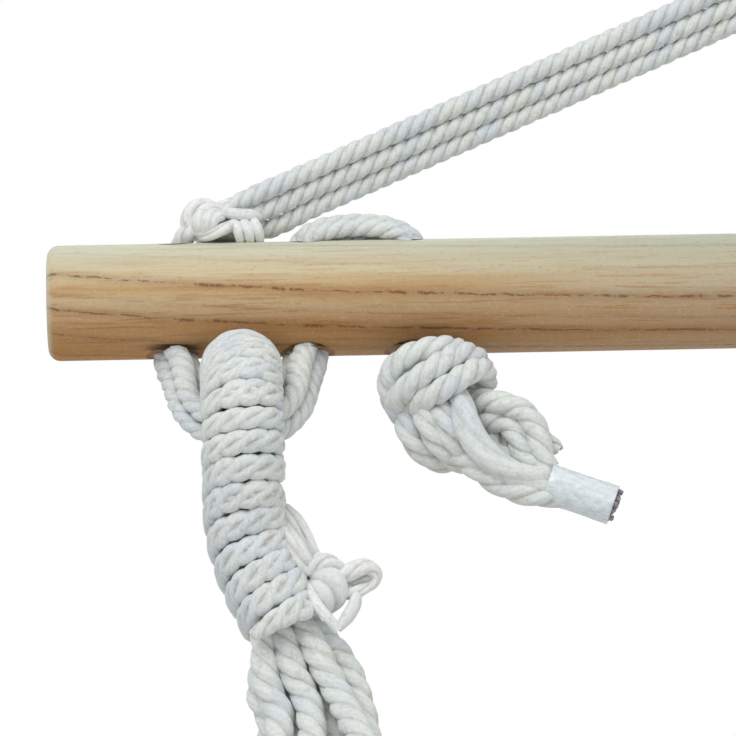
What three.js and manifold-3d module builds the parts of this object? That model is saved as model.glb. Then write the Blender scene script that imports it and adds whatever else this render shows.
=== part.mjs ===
// Hammock chair: a wooden spreader bar hung by three cords from a ring, with a canvas seat slung under it.
// Lengths are in millimetres and angles in degrees.
// The origin is where a hook bears, at the top inside the hanging ring.
// +Z is up, +X runs along the bar and -Y is the front.
import * as THREE from "three";
import { mergeVertices } from "three/addons/utils/BufferGeometryUtils.js";
import Module from "manifold-3d";

const wasm = await Module();
wasm.setup();

// Gap that touching pieces keep, and how far a cutting tool runs past what it cuts
const clearance = 0.3;
const overrun = 2;

// Hanging ring
const ringHoleRadius = 22;
const ringWireRadius = 4;

// Spreader bar and its three holes at each end, counted from the end inwards
const barLength = 1000;
const barRadius = 18;
const barEndRounding = 3.7;
const barDrop = 252;
const barSetBack = 13;
const holeRadius = 8;
const holeChamfer = 2.5;
const outerHoleInset = 39;
const middleHoleInset = 80.5;
const innerHoleInset = 113;

// Three cords that hang the bar and go on as its lashing, and how their row turns on its way to the ring
const cordDiameter = 5.2;
const cordRowShares = [-1, 0, 1];
const cordRowAngles = [55, 62, 40, 0];
const cordLift = 3;

// Top knot, where the cords come up through the outer hole
const topKnotInset = 50.5;
const topKnotRadius = 6.4;
const topCollarLength = 8;
const topCollarRadius = 6;
const topCollarSpreadShare = 1.25;
const topNeckShares = [[0.07, 0.27], [0.37, 0.8]];

// Lashing loop under the bar
const loopLeanAngle = 22;
const loopRunningGap = 0.3;
const eyeToBarGap = 1.2;

// Stopper knot under the inner hole, as a route from the hole's mouth, and its taped tail
const knotCordRadius = 5.4;
const knotRoute = [
  [0, 0, 2], [0, 0, -4], [2, 2, -12], [3, 1, -21], [1, -3, -29], [-3, -11, -31], [-6, -18, -25],
  [-5, -23, -16], [2, -25, -10], [11, -22, -8], [18, -15, -11], [20, -6, -17], [16, -1, -25],
  [11, -6, -31], [14, -13, -34], [21, -15, -39], [30.5, -14.5, -43.5], [41, -14, -46.6],
];
const knotCoreRadius = 10;
const knotCorePlace = [6, -12, -19];
const tapeLength = 22;
const tapeWall = 0.5;
const tapeEndProud = 1;
const tapeFallAngle = 17;

// Eye of the seat's cords, its throat, and the rope wound round both
const eyeCoreRadius = 6.6;
const eyeCoreGap = 1.3;
const throatDepth = 40;
const eyeLegShare = 0.75;
const throatOffset = 5.5;
const throatBendStart = 22;
const throatBendRadius = 60;
const throatLeanAngle = 26;
const wrapThickness = 5;
const wrapGap = 0.75;
const wrapEyePitch = 5.15;
const wrapThroatPitch = 7.6;
const wrapFirstTurn = -6.75;
const wrapJoinTurn = 8;
const wrapLastTurn = 13.75;
const wrapSteps = 12;
const wrapSides = 6;
const wrapSquareness = 0.7;
const wrapEasing = 0.8;
const wrapJoinHalf = 0.25;
const wrapNextTurnShare = 0.6;
const humpSquareness = 0.55;

// Flare where the seat's cords part below the whipping
const flareGap = 0.6;
const flareLength = 16;
const flareTopHalfWidth = 10;
const flareTopHalfDepth = 11;
const flareEndDepthShare = 1.15;

// Whipping tie, as routes from the eye's middle
const tieCordRadius = 2.6;
const tieLumpPlace = [26.4, -9, -46.5];
const tieLumpRadii = [6.8, 7, 9.5];
const tieStrand = [[17.8, -7, -27], [20.6, -9, -32], [24.4, -9, -40], [26.4, -9, -46]];
const tieLoop = [
  [27, -8, -45], [33, -8, -42.5], [40, -8, -43], [42.5, -8, -47],
  [39, -8, -51], [32, -8, -52.5], [27, -8, -50],
];
const tieTail = [[27, -9, -50], [32, -12, -56], [33, -14, -61], [31.5, -15.5, -64]];

// Seat cords from each eye, in rows from the front to the back, and how far they run before they fan out
const seatCordDiameter = 7.5;
const seatCordGap = 0.8;
const seatCordRows = [3, 4, 3];
const seatRowPitch = 7.6;
const seatRowTilt = 0.6;
const seatCordStraight = 5;
const seatCordKneeShare = 0.25;

// Canvas seat between its two rolled hems
const hemRadius = 6;
const hemHalfSpan = 430;
const hemDrawIn = 150;
const hemHalfDepth = 260;
const hemDrop = 580;
const hemRise = 100;
const seatSag = 390;
const seatEdgeSag = 370;
const seatBottomSpread = 100;
const clothThickness = 4;
const foldHeight = 11;
const foldCount = 5;
const foldPeakShare = 0.82;
const foldEndShare = 0.25;
const clothEdgeShare = 0.125;
const clothCells = 22;

// Colours
const cottonColour = 0xd8dcd6;
const canvasColour = 0xe0ddd0;
const woodColour = 0xcfae7c;
const steelColour = 0xb9bcc0;
const tapeColour = 0xc9d3d8;

// Sizes and places that follow from the ones above
const cordRadius = cordDiameter / 2;
const cordPitch = cordDiameter + clearance;
const bundleOffset = cordPitch / Math.sqrt(3);
const bundleRadius = bundleOffset + cordRadius;
const wrapRadius = eyeCoreRadius + eyeCoreGap + wrapThickness / 2;
const wrapOuterRadius = wrapRadius + wrapThickness / 2;
const eyeRadius = bundleRadius + loopRunningGap + wrapOuterRadius;
const pivotReach = barRadius + eyeToBarGap + eyeRadius + wrapOuterRadius;
const loopLean = THREE.MathUtils.degToRad(loopLeanAngle);
const barHalf = barLength / 2;
const eyeInset = (outerHoleInset + middleHoleInset) / 2;
const holeNeck = barRadius - holeChamfer;
const barAxis = new THREE.Vector3(0, barSetBack, -barDrop);
const pivot = new THREE.Vector3(0, -pivotReach * Math.sin(loopLean), -pivotReach * Math.cos(loopLean));
pivot.add(barAxis);
const eyeAt = new THREE.Vector3(barHalf - eyeInset, pivot.y, pivot.z);

const toVectors = (rows) => rows.map((row) => new THREE.Vector3(...row));

// A route through listed points: a tube along it has one section at each point
class Route extends THREE.Curve {
  constructor(points) {
    super();
    this.points = points;
  }

  getPoint(t, target = new THREE.Vector3()) {
    const place = t * (this.points.length - 1);
    const index = Math.min(Math.floor(place), this.points.length - 2);
    return target.lerpVectors(this.points[index], this.points[index + 1], place - index);
  }

  getTangent(t, target = new THREE.Vector3()) {
    const index = Math.round(t * (this.points.length - 1));
    const here = this.points[index];
    const before = this.points[Math.max(index - 1, 0)];
    const after = this.points[Math.min(index + 1, this.points.length - 1)];
    const arriving = here.clone().sub(before).normalize();
    const leaving = after.clone().sub(here).normalize();
    return target.addVectors(arriving, leaving).normalize();
  }

  getUtoTmapping(u) {
    return u;
  }
}

function tube(points, radius, sides) {
  const section = new THREE.Shape().absarc(0, 0, radius, 0, 2 * Math.PI, false);
  return new THREE.ExtrudeGeometry(section, {
    extrudePath: new Route(points),
    steps: points.length - 1,
    curveSegments: sides / 2,
    bevelEnabled: false,
  });
}

function smoothTube(points, steps, radius, sides) {
  return tube(new THREE.CatmullRomCurve3(points).getSpacedPoints(steps), radius, sides);
}

function ball(place, radii, around = 12, rings = 8) {
  const geometry = new THREE.SphereGeometry(1, around, rings);
  geometry.scale(radii[0], radii[1], radii[2]);
  geometry.translate(place[0], place[1], place[2]);
  return geometry;
}

function toSolid(geometry) {
  const bare = geometry.clone();
  bare.deleteAttribute("normal");
  bare.deleteAttribute("uv");
  const merged = mergeVertices(bare);
  return new wasm.Manifold(new wasm.Mesh({
    numProp: 3,
    vertProperties: merged.attributes.position.array,
    triVerts: Uint32Array.from(merged.index.array),
  }));
}

function toGeometry(solid) {
  const mesh = solid.getMesh();
  const geometry = new THREE.BufferGeometry();
  geometry.setAttribute("position", new THREE.BufferAttribute(Float32Array.from(mesh.vertProperties), 3));
  geometry.setIndex(new THREE.BufferAttribute(Uint32Array.from(mesh.triVerts), 1));
  return geometry;
}

function joined(geometries) {
  return toGeometry(geometries.map(toSolid).reduce((sum, solid) => sum.add(solid)));
}

// Pieces are made for the right end, and the left end has their mirror image
function forSide(geometry, side) {
  const bare = geometry.clone();
  bare.deleteAttribute("normal");
  bare.deleteAttribute("uv");
  const result = mergeVertices(bare);
  if (side < 0) {
    result.scale(side, 1, 1);
    const corners = result.index.array;
    for (let i = 0; i < corners.length; i += 3) {
      [corners[i + 1], corners[i + 2]] = [corners[i + 2], corners[i + 1]];
    }
  }
  result.computeVertexNormals();
  return result;
}

// Hanging ring, standing across the bar so that the cords ride in it as the chair swings
function hangingRing() {
  const ring = new THREE.TorusGeometry(ringHoleRadius + ringWireRadius, ringWireRadius, 10, 28);
  ring.rotateY(Math.PI / 2);
  return ring;
}

// Spreader bar about its own axis
function holeTool(place) {
  const flareEnd = barRadius + overrun;
  const flareRadius = holeRadius + flareEnd - holeNeck;
  const tool = new THREE.LatheGeometry([
    new THREE.Vector2(0, -flareEnd),
    new THREE.Vector2(flareRadius, -flareEnd),
    new THREE.Vector2(holeRadius, -holeNeck),
    new THREE.Vector2(holeRadius, holeNeck),
    new THREE.Vector2(flareRadius, flareEnd),
    new THREE.Vector2(0, flareEnd),
  ], 12);
  tool.rotateX(Math.PI / 2);
  tool.translate(place, 0, 0);
  return tool;
}

function spreaderBar() {
  const roundingSteps = 3;
  const profile = [new THREE.Vector2(0, -barHalf)];
  for (const end of [-1, 1]) {
    for (let step = 0; step <= roundingSteps; step += 1) {
      const share = end < 0 ? step / roundingSteps : 1 - step / roundingSteps;
      const turn = (share * Math.PI) / 2;
      profile.push(new THREE.Vector2(
        barRadius - barEndRounding * (1 - Math.sin(turn)),
        end * (barHalf - barEndRounding * (1 - Math.cos(turn))),
      ));
    }
  }
  profile.push(new THREE.Vector2(0, barHalf));
  const rod = new THREE.LatheGeometry(profile, 24);
  rod.rotateZ(-Math.PI / 2);
  let solid = toSolid(rod);
  for (const side of [-1, 1]) {
    for (const inset of [outerHoleInset, middleHoleInset, innerHoleInset]) {
      solid = solid.subtract(toSolid(holeTool(side * (barHalf - inset))));
    }
  }
  return toGeometry(solid);
}

// A place near the bar's right end: how far in from the end, how far back and how far up from the axis
function atBar(inset, back, up) {
  return new THREE.Vector3(barHalf - inset, back, up);
}

// Suspension cords: a row of three from knot to knot, over the bottom of the ring
const topKnotHeight = barRadius + clearance + topKnotRadius;
const ringCordReach = ringHoleRadius - clearance - cordRadius;
const ringBendRadius = ringWireRadius + clearance + cordRadius;
const cordsFootInset = topKnotInset + topKnotRadius + topCollarLength;
const cordsFoot = atBar(cordsFootInset, 0, topKnotHeight + cordLift).add(barAxis);
const cordsHead = new THREE.Vector3(0, 0, -2 * ringHoleRadius);
const cordsRise = Math.atan2(cordsHead.z - cordsFoot.z, cordsFoot.x);

function suspensionCord(rowShare) {
  const shift = rowShare * (cordPitch + clearance);
  const around = shift / ringCordReach;
  const outward = new THREE.Vector3(0, Math.sin(around), -Math.cos(around));
  const wire = new THREE.Vector3(0, 0, -ringHoleRadius);
  wire.addScaledVector(outward, ringHoleRadius + ringWireRadius);
  const bendPoint = (angle) => wire.clone()
    .addScaledVector(outward, -ringBendRadius * Math.cos(angle))
    .add(new THREE.Vector3(ringBendRadius * Math.sin(angle), 0, 0));
  const upright = new THREE.Vector3(Math.sin(cordsRise), 0, Math.cos(cordsRise));
  const middleTop = cordsHead.clone().add(new THREE.Vector3(ringBendRadius * Math.sin(cordsRise), 0, 0));
  middleTop.z += ringBendRadius * Math.cos(cordsRise) - ringWireRadius;
  const ringPull = bendPoint(cordsRise).sub(middleTop).sub(new THREE.Vector3(0, shift, 0));
  const rowAngle = new THREE.SplineCurve(cordRowAngles.map((angle, index) =>
    new THREE.Vector2(index, THREE.MathUtils.degToRad(angle))));
  const runSteps = 6;
  const firstAngle = rowAngle.getPoint(0).y;
  const foot = new THREE.Vector3(0, shift * Math.cos(firstAngle), -shift * Math.sin(firstAngle));
  foot.add(cordsFoot);
  const points = [foot, foot.clone().setX(foot.x - cordRadius)];
  for (let step = 1; step < runSteps; step += 1) {
    const share = step / runSteps;
    const angle = rowAngle.getPoint(share).y;
    points.push(cordsFoot.clone().lerp(middleTop, share)
      .addScaledVector(upright, -shift * Math.sin(angle))
      .addScaledVector(ringPull, share)
      .add(new THREE.Vector3(0, shift * Math.cos(angle), 0)));
  }
  const bendSteps = 4;
  for (let step = 0; step <= bendSteps; step += 1) {
    points.push(bendPoint(cordsRise * (1 - step / bendSteps)));
  }
  const others = points.slice(0, -1).reverse().map((point) => point.clone().setX(-point.x));
  return tube([...points, ...others], cordRadius, 8);
}

// Top knot about the bar's axis: a bulb, the collar that grips the three cords and a neck down the hole
function topKnot() {
  const centre = atBar(topKnotInset, 0, topKnotHeight);
  const bulb = ball(centre.toArray(), [topKnotRadius, topKnotRadius, topKnotRadius]);
  const collarLength = topKnotRadius + topCollarLength - clearance;
  const collar = new THREE.CylinderGeometry(topCollarRadius, topCollarRadius, collarLength, 12);
  collar.rotateZ(Math.PI / 2);
  collar.scale(1, topCollarSpreadShare, 1);
  collar.translate(centre.x - collarLength / 2, centre.y, centre.z);
  const bend = topKnotInset - outerHoleInset;
  const neckRise = topKnotHeight - barRadius;
  const neck = tube([
    atBar(outerHoleInset, 0, holeNeck + clearance),
    atBar(outerHoleInset, 0, barRadius),
    ...topNeckShares.map(([along, up]) =>
      atBar(outerHoleInset + bend * along, 0, barRadius + neckRise * up)),
    centre,
  ], knotCordRadius, 10);
  return joined([bulb, collar, neck]);
}

// Lashing route about the bar's axis: outer hole, loop under the bar, hump over it, inner hole
function lashingRoute() {
  const mouth = new THREE.Vector3(0, 0, -holeNeck);
  const down = pivot.clone().sub(barAxis).sub(mouth);
  const depth = down.length();
  down.normalize();
  const loopSteps = 10;
  const humpSteps = 8;
  const points = [
    atBar(outerHoleInset, 0, holeNeck),
    atBar(outerHoleInset, 0, -holeNeck + holeChamfer),
    atBar(outerHoleInset, down.y * holeChamfer / 2, -barRadius - cordRadius / 2),
  ];
  for (let step = 0; step <= loopSteps; step += 1) {
    const angle = (Math.PI * step) / loopSteps;
    const along = depth - eyeRadius * (1 - Math.sin(angle));
    points.push(atBar(eyeInset - eyeRadius * Math.cos(angle), down.y * along, mouth.z + down.z * along));
  }
  points.push(atBar(middleHoleInset, down.y * holeChamfer / 2, -barRadius - cordRadius / 2));
  points.push(atBar(middleHoleInset, 0, -holeNeck + holeChamfer));
  const humpHalf = (innerHoleInset - middleHoleInset) / 2;
  const humpFoot = holeNeck - holeChamfer;
  const humpRise = barRadius + clearance + bundleRadius - humpFoot;
  for (let step = 0; step <= humpSteps; step += 1) {
    const angle = (Math.PI * step) / humpSteps;
    points.push(atBar(
      middleHoleInset + humpHalf * (1 - Math.cos(angle)),
      0,
      humpFoot + humpRise * Math.sin(angle) ** humpSquareness,
    ));
  }
  points.push(atBar(innerHoleInset, 0, -holeNeck));
  return points;
}

function lashingCords() {
  const points = lashingRoute();
  const frames = new Route(points).computeFrenetFrames(points.length - 1, false);
  return [0, 1, 2].map((index) => {
    const angle = (2 * Math.PI * index) / 3;
    const offsetPoints = points.map((point, place) => point.clone()
      .addScaledVector(frames.normals[place], bundleOffset * Math.cos(angle))
      .addScaledVector(frames.binormals[place], bundleOffset * Math.sin(angle)));
    return tube(offsetPoints, cordRadius, 6);
  });
}

// Stopper knot about the bar's axis: the bundle's route knotted below the inner hole, with its tail
const tapeFall = THREE.MathUtils.degToRad(tapeFallAngle);
const tapeLine = new THREE.Vector3(-Math.cos(tapeFall), 0, -Math.sin(tapeFall));

function knotPoints() {
  const mouth = atBar(innerHoleInset, 0, -barRadius);
  return toVectors(knotRoute).map((point) =>
    mouth.clone().add(new THREE.Vector3(-point.x, point.y, point.z)));
}

function stopperKnot() {
  const points = knotPoints();
  const tapeStart = points[points.length - 1];
  const tailEnd = tapeStart.clone().addScaledVector(tapeLine, tapeLength + tapeEndProud);
  const lead = tapeStart.clone().addScaledVector(tapeLine, -knotCordRadius);
  const route = new THREE.CatmullRomCurve3(points).getSpacedPoints(28);
  const tail = tube([lead, tapeStart, tailEnd], knotCordRadius, 10);
  const core = ball([points[0].x - knotCorePlace[0], knotCorePlace[1], -barRadius + knotCorePlace[2]],
    [knotCoreRadius, knotCoreRadius, knotCoreRadius], 10, 6);
  return joined([tube(route, knotCordRadius, 8), tail, core]);
}

function endTape() {
  const inner = knotCordRadius + clearance;
  const outer = inner + tapeWall;
  const sleeve = new THREE.LatheGeometry([
    new THREE.Vector2(inner, 0),
    new THREE.Vector2(outer, 0),
    new THREE.Vector2(outer, tapeLength),
    new THREE.Vector2(inner, tapeLength),
    new THREE.Vector2(inner, 0),
  ], 14);
  const points = knotPoints();
  sleeve.applyQuaternion(new THREE.Quaternion().setFromUnitVectors(new THREE.Vector3(0, 1, 0), tapeLine));
  sleeve.translate(...points[points.length - 1].toArray());
  return sleeve;
}

// Distance of each leg of the eye from the middle plane, at a depth below the eye's middle
function legOffset(down) {
  const share = THREE.MathUtils.clamp(down / throatDepth, 0, 1);
  return throatOffset + (eyeRadius - throatOffset) * (1 - share) ** 2 * (1 + 2 * share);
}

// How far the wound rope's middle lies from a slanting leg's, measured level
function legReach(down) {
  const share = THREE.MathUtils.clamp(down / throatDepth, 0, 1);
  const slope = (6 * (eyeRadius - throatOffset) * share * (1 - share)) / throatDepth;
  return wrapRadius * Math.hypot(1, slope);
}

// The throat bends towards the chair's middle, and takes every piece of the eye with it
function bendThroat(geometry) {
  const lean = THREE.MathUtils.degToRad(throatLeanAngle);
  const places = geometry.attributes.position;
  for (let i = 0; i < places.count; i += 1) {
    const past = Math.max(-places.getZ(i) - throatBendStart, 0);
    const turn = Math.min(past / throatBendRadius, lean);
    const beyond = past - throatBendRadius * turn;
    const radius = throatBendRadius + places.getX(i);
    const x = radius * Math.cos(turn) - throatBendRadius - beyond * Math.sin(turn);
    const z = past > 0
      ? -throatBendStart - radius * Math.sin(turn) - beyond * Math.cos(turn)
      : places.getZ(i);
    places.setX(i, x);
    places.setZ(i, z);
  }
  return geometry;
}

function bendPoint(point) {
  const holder = new THREE.BufferGeometry().setFromPoints([point]);
  return new THREE.Vector3().fromBufferAttribute(bendThroat(holder).attributes.position, 0);
}

// Length of the winding, in turns from the crown, turned into a place along the eye's middle line
const eyeQuarter = (Math.PI / 2) * eyeRadius;
const eyeQuarterTurns = eyeQuarter / wrapEyePitch;

function wrapAlong(turn) {
  const late = Math.log(1 + Math.exp((Math.abs(turn) - eyeQuarterTurns) / wrapEasing)) * wrapEasing;
  return wrapEyePitch * Math.abs(turn) + (wrapThroatPitch - wrapEyePitch) * late;
}

// Middle of the wound rope: turn sets the place along the eye, phase the place round it
function wrapPlace(turn, phase, joining) {
  const down = wrapAlong(turn) - eyeQuarter;
  const front = Math.sign(turn) || 1;
  if (down <= 0) {
    const angle = (front * (down + eyeQuarter)) / eyeRadius;
    const reach = eyeRadius + wrapRadius * Math.cos(phase);
    const sideways = wrapRadius * Math.sin(phase);
    return new THREE.Vector3(sideways, -reach * Math.sin(angle), reach * Math.cos(angle));
  }
  const power = THREE.MathUtils.lerp(1, wrapSquareness, joining);
  const squared = (value) => Math.sign(value) * Math.abs(value) ** power;
  const far = legOffset(down) + legReach(down);
  const near = THREE.MathUtils.lerp(legOffset(down) - legReach(down), -far, joining);
  const reach = (far + near) / 2 + ((far - near) / 2) * squared(Math.cos(phase));
  return new THREE.Vector3(wrapRadius * squared(Math.sin(phase)), -front * reach, -down);
}

function wrapStation(turn) {
  const nudge = 0.01;
  const joiningAt = (value) =>
    THREE.MathUtils.smoothstep(value, wrapJoinTurn - wrapJoinHalf, wrapJoinTurn + wrapJoinHalf);
  const ropeAt = (value) => wrapPlace(value, 2 * Math.PI * value, joiningAt(value));
  const phase = 2 * Math.PI * turn;
  const advanceAt = (value) => wrapPlace(value + nudge, phase, joiningAt(turn))
    .sub(wrapPlace(value - nudge, phase, joiningAt(turn))).divideScalar(2 * nudge);
  const middle = ropeAt(turn);
  const tangent = ropeAt(turn + nudge).sub(ropeAt(turn - nudge)).normalize();
  const pitch = Math.min(...[-0.5, 0, 0.5].map((value) => advanceAt(turn + value).length()));
  const across = advanceAt(turn);
  across.addScaledVector(tangent, -across.dot(tangent)).normalize();
  const outward = new THREE.Vector3().crossVectors(tangent, across);
  return { middle, tangent, across, outward, width: pitch - wrapGap };
}

function eyeWrapping() {
  const count = Math.round((wrapLastTurn - wrapFirstTurn) * wrapSteps);
  const stations = [];
  for (let step = 0; step <= count; step += 1) {
    stations.push(wrapStation(wrapFirstTurn + step / wrapSteps));
  }
  const first = stations[0];
  const last = stations[count];
  const moved = (station, distance) => ({
    ...station,
    middle: station.middle.clone().addScaledVector(station.tangent, distance),
  });
  const all = [moved(first, -wrapThickness), ...stations, moved(last, wrapThickness)];
  const places = [];
  for (const { middle, across, outward, width } of all) {
    for (let side = 0; side < wrapSides; side += 1) {
      const angle = (2 * Math.PI * side) / wrapSides;
      const widest = Math.sin(Math.PI / 3);
      const point = middle.clone()
        .addScaledVector(outward, (wrapThickness / 2) * Math.cos(angle))
        .addScaledVector(across, ((width / 2) * Math.sin(angle)) / widest);
      places.push(point.x, point.y, point.z);
    }
  }
  const corners = [];
  for (let ring = 0; ring < all.length - 1; ring += 1) {
    for (let side = 0; side < wrapSides; side += 1) {
      const next = (side + 1) % wrapSides;
      const here = ring * wrapSides;
      const there = here + wrapSides;
      corners.push(here + side, there + side, here + next);
      corners.push(here + next, there + side, there + next);
    }
  }
  const end = (all.length - 1) * wrapSides;
  for (let side = 1; side < wrapSides - 1; side += 1) {
    corners.push(0, side, side + 1);
    corners.push(end, end + side + 1, end + side);
  }
  const geometry = new THREE.BufferGeometry();
  geometry.setAttribute("position", new THREE.BufferAttribute(Float32Array.from(places), 3));
  geometry.setIndex(corners);
  return bendThroat(geometry);
}

// Least gap between turns of the winding, measured on its points
function leastTurnGap(geometry) {
  const places = geometry.attributes.position;
  const apart = Math.round(wrapSteps * wrapNextTurnShare) * wrapSides;
  const here = new THREE.Vector3();
  const there = new THREE.Vector3();
  let least = Infinity;
  for (let i = 0; i < places.count; i += 1) {
    here.fromBufferAttribute(places, i);
    for (let j = i + apart; j < places.count; j += 1) {
      least = Math.min(least, here.distanceTo(there.fromBufferAttribute(places, j)));
    }
  }
  return least;
}

// Seat cords' bundle inside the winding: an arch, the throat where its legs meet, and the flare
const seatCordRadius = seatCordDiameter / 2;
const seatCordPitch = seatCordDiameter + seatCordGap;
const whippingEnd = wrapAlong(wrapLastTurn) - eyeQuarter + wrapThroatPitch / 2;
const flareStart = whippingEnd + flareGap;
const flareEnd = flareStart + flareLength;

function eyeCore() {
  const archSteps = 12;
  const legLength = throatDepth * eyeLegShare;
  const legSteps = 4;
  const leg = [];
  for (let step = legSteps; step >= 1; step -= 1) {
    const down = (legLength * step) / legSteps;
    leg.push(new THREE.Vector3(0, legOffset(down), -down));
  }
  const arch = [];
  for (let step = 0; step <= archSteps; step += 1) {
    const angle = (Math.PI * step) / archSteps;
    arch.push(new THREE.Vector3(0, eyeRadius * Math.cos(angle), eyeRadius * Math.sin(angle)));
  }
  const otherLeg = leg.map((point) => new THREE.Vector3(0, -point.y, point.z)).reverse();
  const loop = tube([...leg, ...arch, ...otherLeg], eyeCoreRadius, 8);
  const throatTop = legLength - eyeCoreRadius;
  const throat = new THREE.CylinderGeometry(1, 1, flareStart + overrun - throatTop, 16, 4);
  throat.rotateX(Math.PI / 2);
  throat.translate(0, 0, -(flareStart + overrun + throatTop) / 2);
  const places = throat.attributes.position;
  for (let i = 0; i < places.count; i += 1) {
    places.setX(i, places.getX(i) * eyeCoreRadius);
    places.setY(i, places.getY(i) * (legOffset(-places.getZ(i)) + eyeCoreRadius));
  }
  const endHalfWidth = (seatCordPitch * (Math.max(...seatCordRows) - 1)) / 2 + seatCordRadius;
  const endHalfDepth = (seatRowPitch + seatCordRadius) * flareEndDepthShare;
  const flare = new THREE.CylinderGeometry(1, 1, flareLength, 16);
  flare.rotateX(Math.PI / 2);
  flare.translate(0, 0, -(flareStart + flareEnd) / 2);
  const corners = flare.attributes.position;
  for (let i = 0; i < corners.count; i += 1) {
    const share = (-corners.getZ(i) - flareStart) / flareLength;
    corners.setX(i, corners.getX(i) * THREE.MathUtils.lerp(flareTopHalfWidth, endHalfWidth, share));
    corners.setY(i, corners.getY(i) * THREE.MathUtils.lerp(flareTopHalfDepth, endHalfDepth, share));
  }
  const solid = toSolid(bendThroat(loop)).add(toSolid(bendThroat(throat))).add(toSolid(bendThroat(flare)));
  return toGeometry(solid);
}

// Whipping tie beside the throat, on the side towards the chair's middle
function whippingTie() {
  const inward = (rows) => toVectors(rows).map((point) => new THREE.Vector3(-point.x, point.y, point.z));
  const [x, y, z] = tieLumpPlace;
  return joined([
    ball([-x, y, z], tieLumpRadii, 10, 8),
    smoothTube(inward(tieStrand), 5, tieCordRadius, 6),
    smoothTube(inward(tieLoop), 10, tieCordRadius, 6),
    smoothTube(inward(tieTail), 5, tieCordRadius, 6),
  ]);
}

// Hem of the seat on the right: along runs from -1 at the front to 1 at the back
function hemPoint(along) {
  return new THREE.Vector3(
    hemHalfSpan - hemDrawIn * along ** 2,
    pivot.y + hemHalfDepth * along,
    -barDrop - hemDrop + hemRise * along ** 2,
  );
}

function hem() {
  const steps = 20;
  const points = [];
  for (let step = 0; step <= steps; step += 1) {
    points.push(hemPoint((2 * step) / steps - 1));
  }
  return tube(points, hemRadius, 8);
}

// Seat cords: they reach the hem in order from the front, those nearest the chair's middle outermost
function seatCordStarts() {
  const starts = [];
  seatCordRows.forEach((cords, row) => {
    const isBack = row === seatCordRows.length - 1;
    const isMiddle = row > 0 && !isBack;
    for (let place = 0; place < cords; place += 1) {
      const step = place - (cords - 1) / 2;
      const back = (row - 1) * seatRowPitch + (isMiddle ? step * seatRowTilt : 0);
      starts.push(new THREE.Vector3((isBack ? -step : step) * seatCordPitch, back, -flareEnd - clearance));
    }
  });
  return starts;
}

function seatCord(start, index, count) {
  const top = bendPoint(start).add(eyeAt);
  const knee = bendPoint(start.clone().add(new THREE.Vector3(0, 0, -seatCordStraight))).add(eyeAt);
  const place = (2 * index + 1) / count - 1;
  const foot = hemPoint(place);
  const line = foot.clone().sub(knee).normalize();
  const nudge = 0.001;
  const hemLine = hemPoint(place + nudge).sub(hemPoint(place - nudge)).normalize();
  const slant = Math.asin(Math.abs(line.dot(hemLine)));
  foot.addScaledVector(line, -(hemRadius + clearance + seatCordRadius * Math.sin(slant)) / Math.cos(slant));
  const before = knee.clone().lerp(top, seatCordKneeShare);
  const after = knee.clone().addScaledVector(line, seatCordStraight * seatCordKneeShare);
  return tube([top, before, after, foot], seatCordRadius, 8);
}

// Canvas: across runs from -1 at the left hem to 1 at the right, along from the front to the back
function canvasMiddle(across, along) {
  const edge = hemPoint(along);
  const lift = 1 - across ** 2;
  const sag = THREE.MathUtils.lerp(seatSag, seatEdgeSag, along ** 2);
  const far = Math.abs(across);
  const envelope = far < foldPeakShare
    ? THREE.MathUtils.smoothstep(far, foldEndShare, foldPeakShare)
    : THREE.MathUtils.smoothstep(1 - far, 0, 1 - foldPeakShare);
  const fold = foldHeight * envelope * Math.cos(Math.PI * foldCount * along);
  return new THREE.Vector3(
    edge.x * across + Math.sign(across) * fold,
    edge.y + seatBottomSpread * lift * along,
    edge.z - sag * lift,
  );
}

function canvasSeat() {
  const nudge = 0.001;
  const grid = [];
  for (let row = 0; row <= clothCells; row += 1) {
    const along = (2 * row) / clothCells - 1;
    const speed = canvasMiddle(1, along).distanceTo(canvasMiddle(1 - nudge, along)) / nudge;
    const reach = 1 - (hemRadius + clearance + clothThickness * clothEdgeShare) / speed;
    for (let column = 0; column <= clothCells; column += 1) {
      const across = reach * ((2 * column) / clothCells - 1);
      const middle = canvasMiddle(across, along);
      const acrossLine = canvasMiddle(across + nudge, along).sub(canvasMiddle(across - nudge, along));
      const alongLine = canvasMiddle(across, along + nudge).sub(canvasMiddle(across, along - nudge));
      const outward = new THREE.Vector3().crossVectors(acrossLine, alongLine).normalize();
      grid.push({ middle, outward });
    }
  }
  const places = [];
  for (const face of [1, -1]) {
    for (const { middle, outward } of grid) {
      places.push(...middle.clone().addScaledVector(outward, (face * clothThickness) / 2).toArray());
    }
  }
  const rowLength = clothCells + 1;
  const corners = [];
  const quad = (a, b, c, d) => corners.push(a, b, c, a, c, d);
  for (let row = 0; row < clothCells; row += 1) {
    for (let column = 0; column < clothCells; column += 1) {
      const here = row * rowLength + column;
      const below = here + grid.length;
      quad(here, here + 1, here + 1 + rowLength, here + rowLength);
      quad(below, below + rowLength, below + 1 + rowLength, below + 1);
    }
  }
  const rim = [];
  for (let i = 0; i < clothCells; i += 1) rim.push(i);
  for (let i = 0; i < clothCells; i += 1) rim.push(i * rowLength + clothCells);
  for (let i = clothCells; i > 0; i -= 1) rim.push(clothCells * rowLength + i);
  for (let i = clothCells; i > 0; i -= 1) rim.push(i * rowLength);
  rim.forEach((here, index) => {
    const next = rim[(index + 1) % rim.length];
    quad(next, here, here + grid.length, next + grid.length);
  });
  const geometry = new THREE.BufferGeometry();
  geometry.setAttribute("position", new THREE.BufferAttribute(Float32Array.from(places), 3));
  geometry.setIndex(corners);
  geometry.computeVertexNormals();
  return geometry;
}

// The chair
const chair = new THREE.Group();

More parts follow.
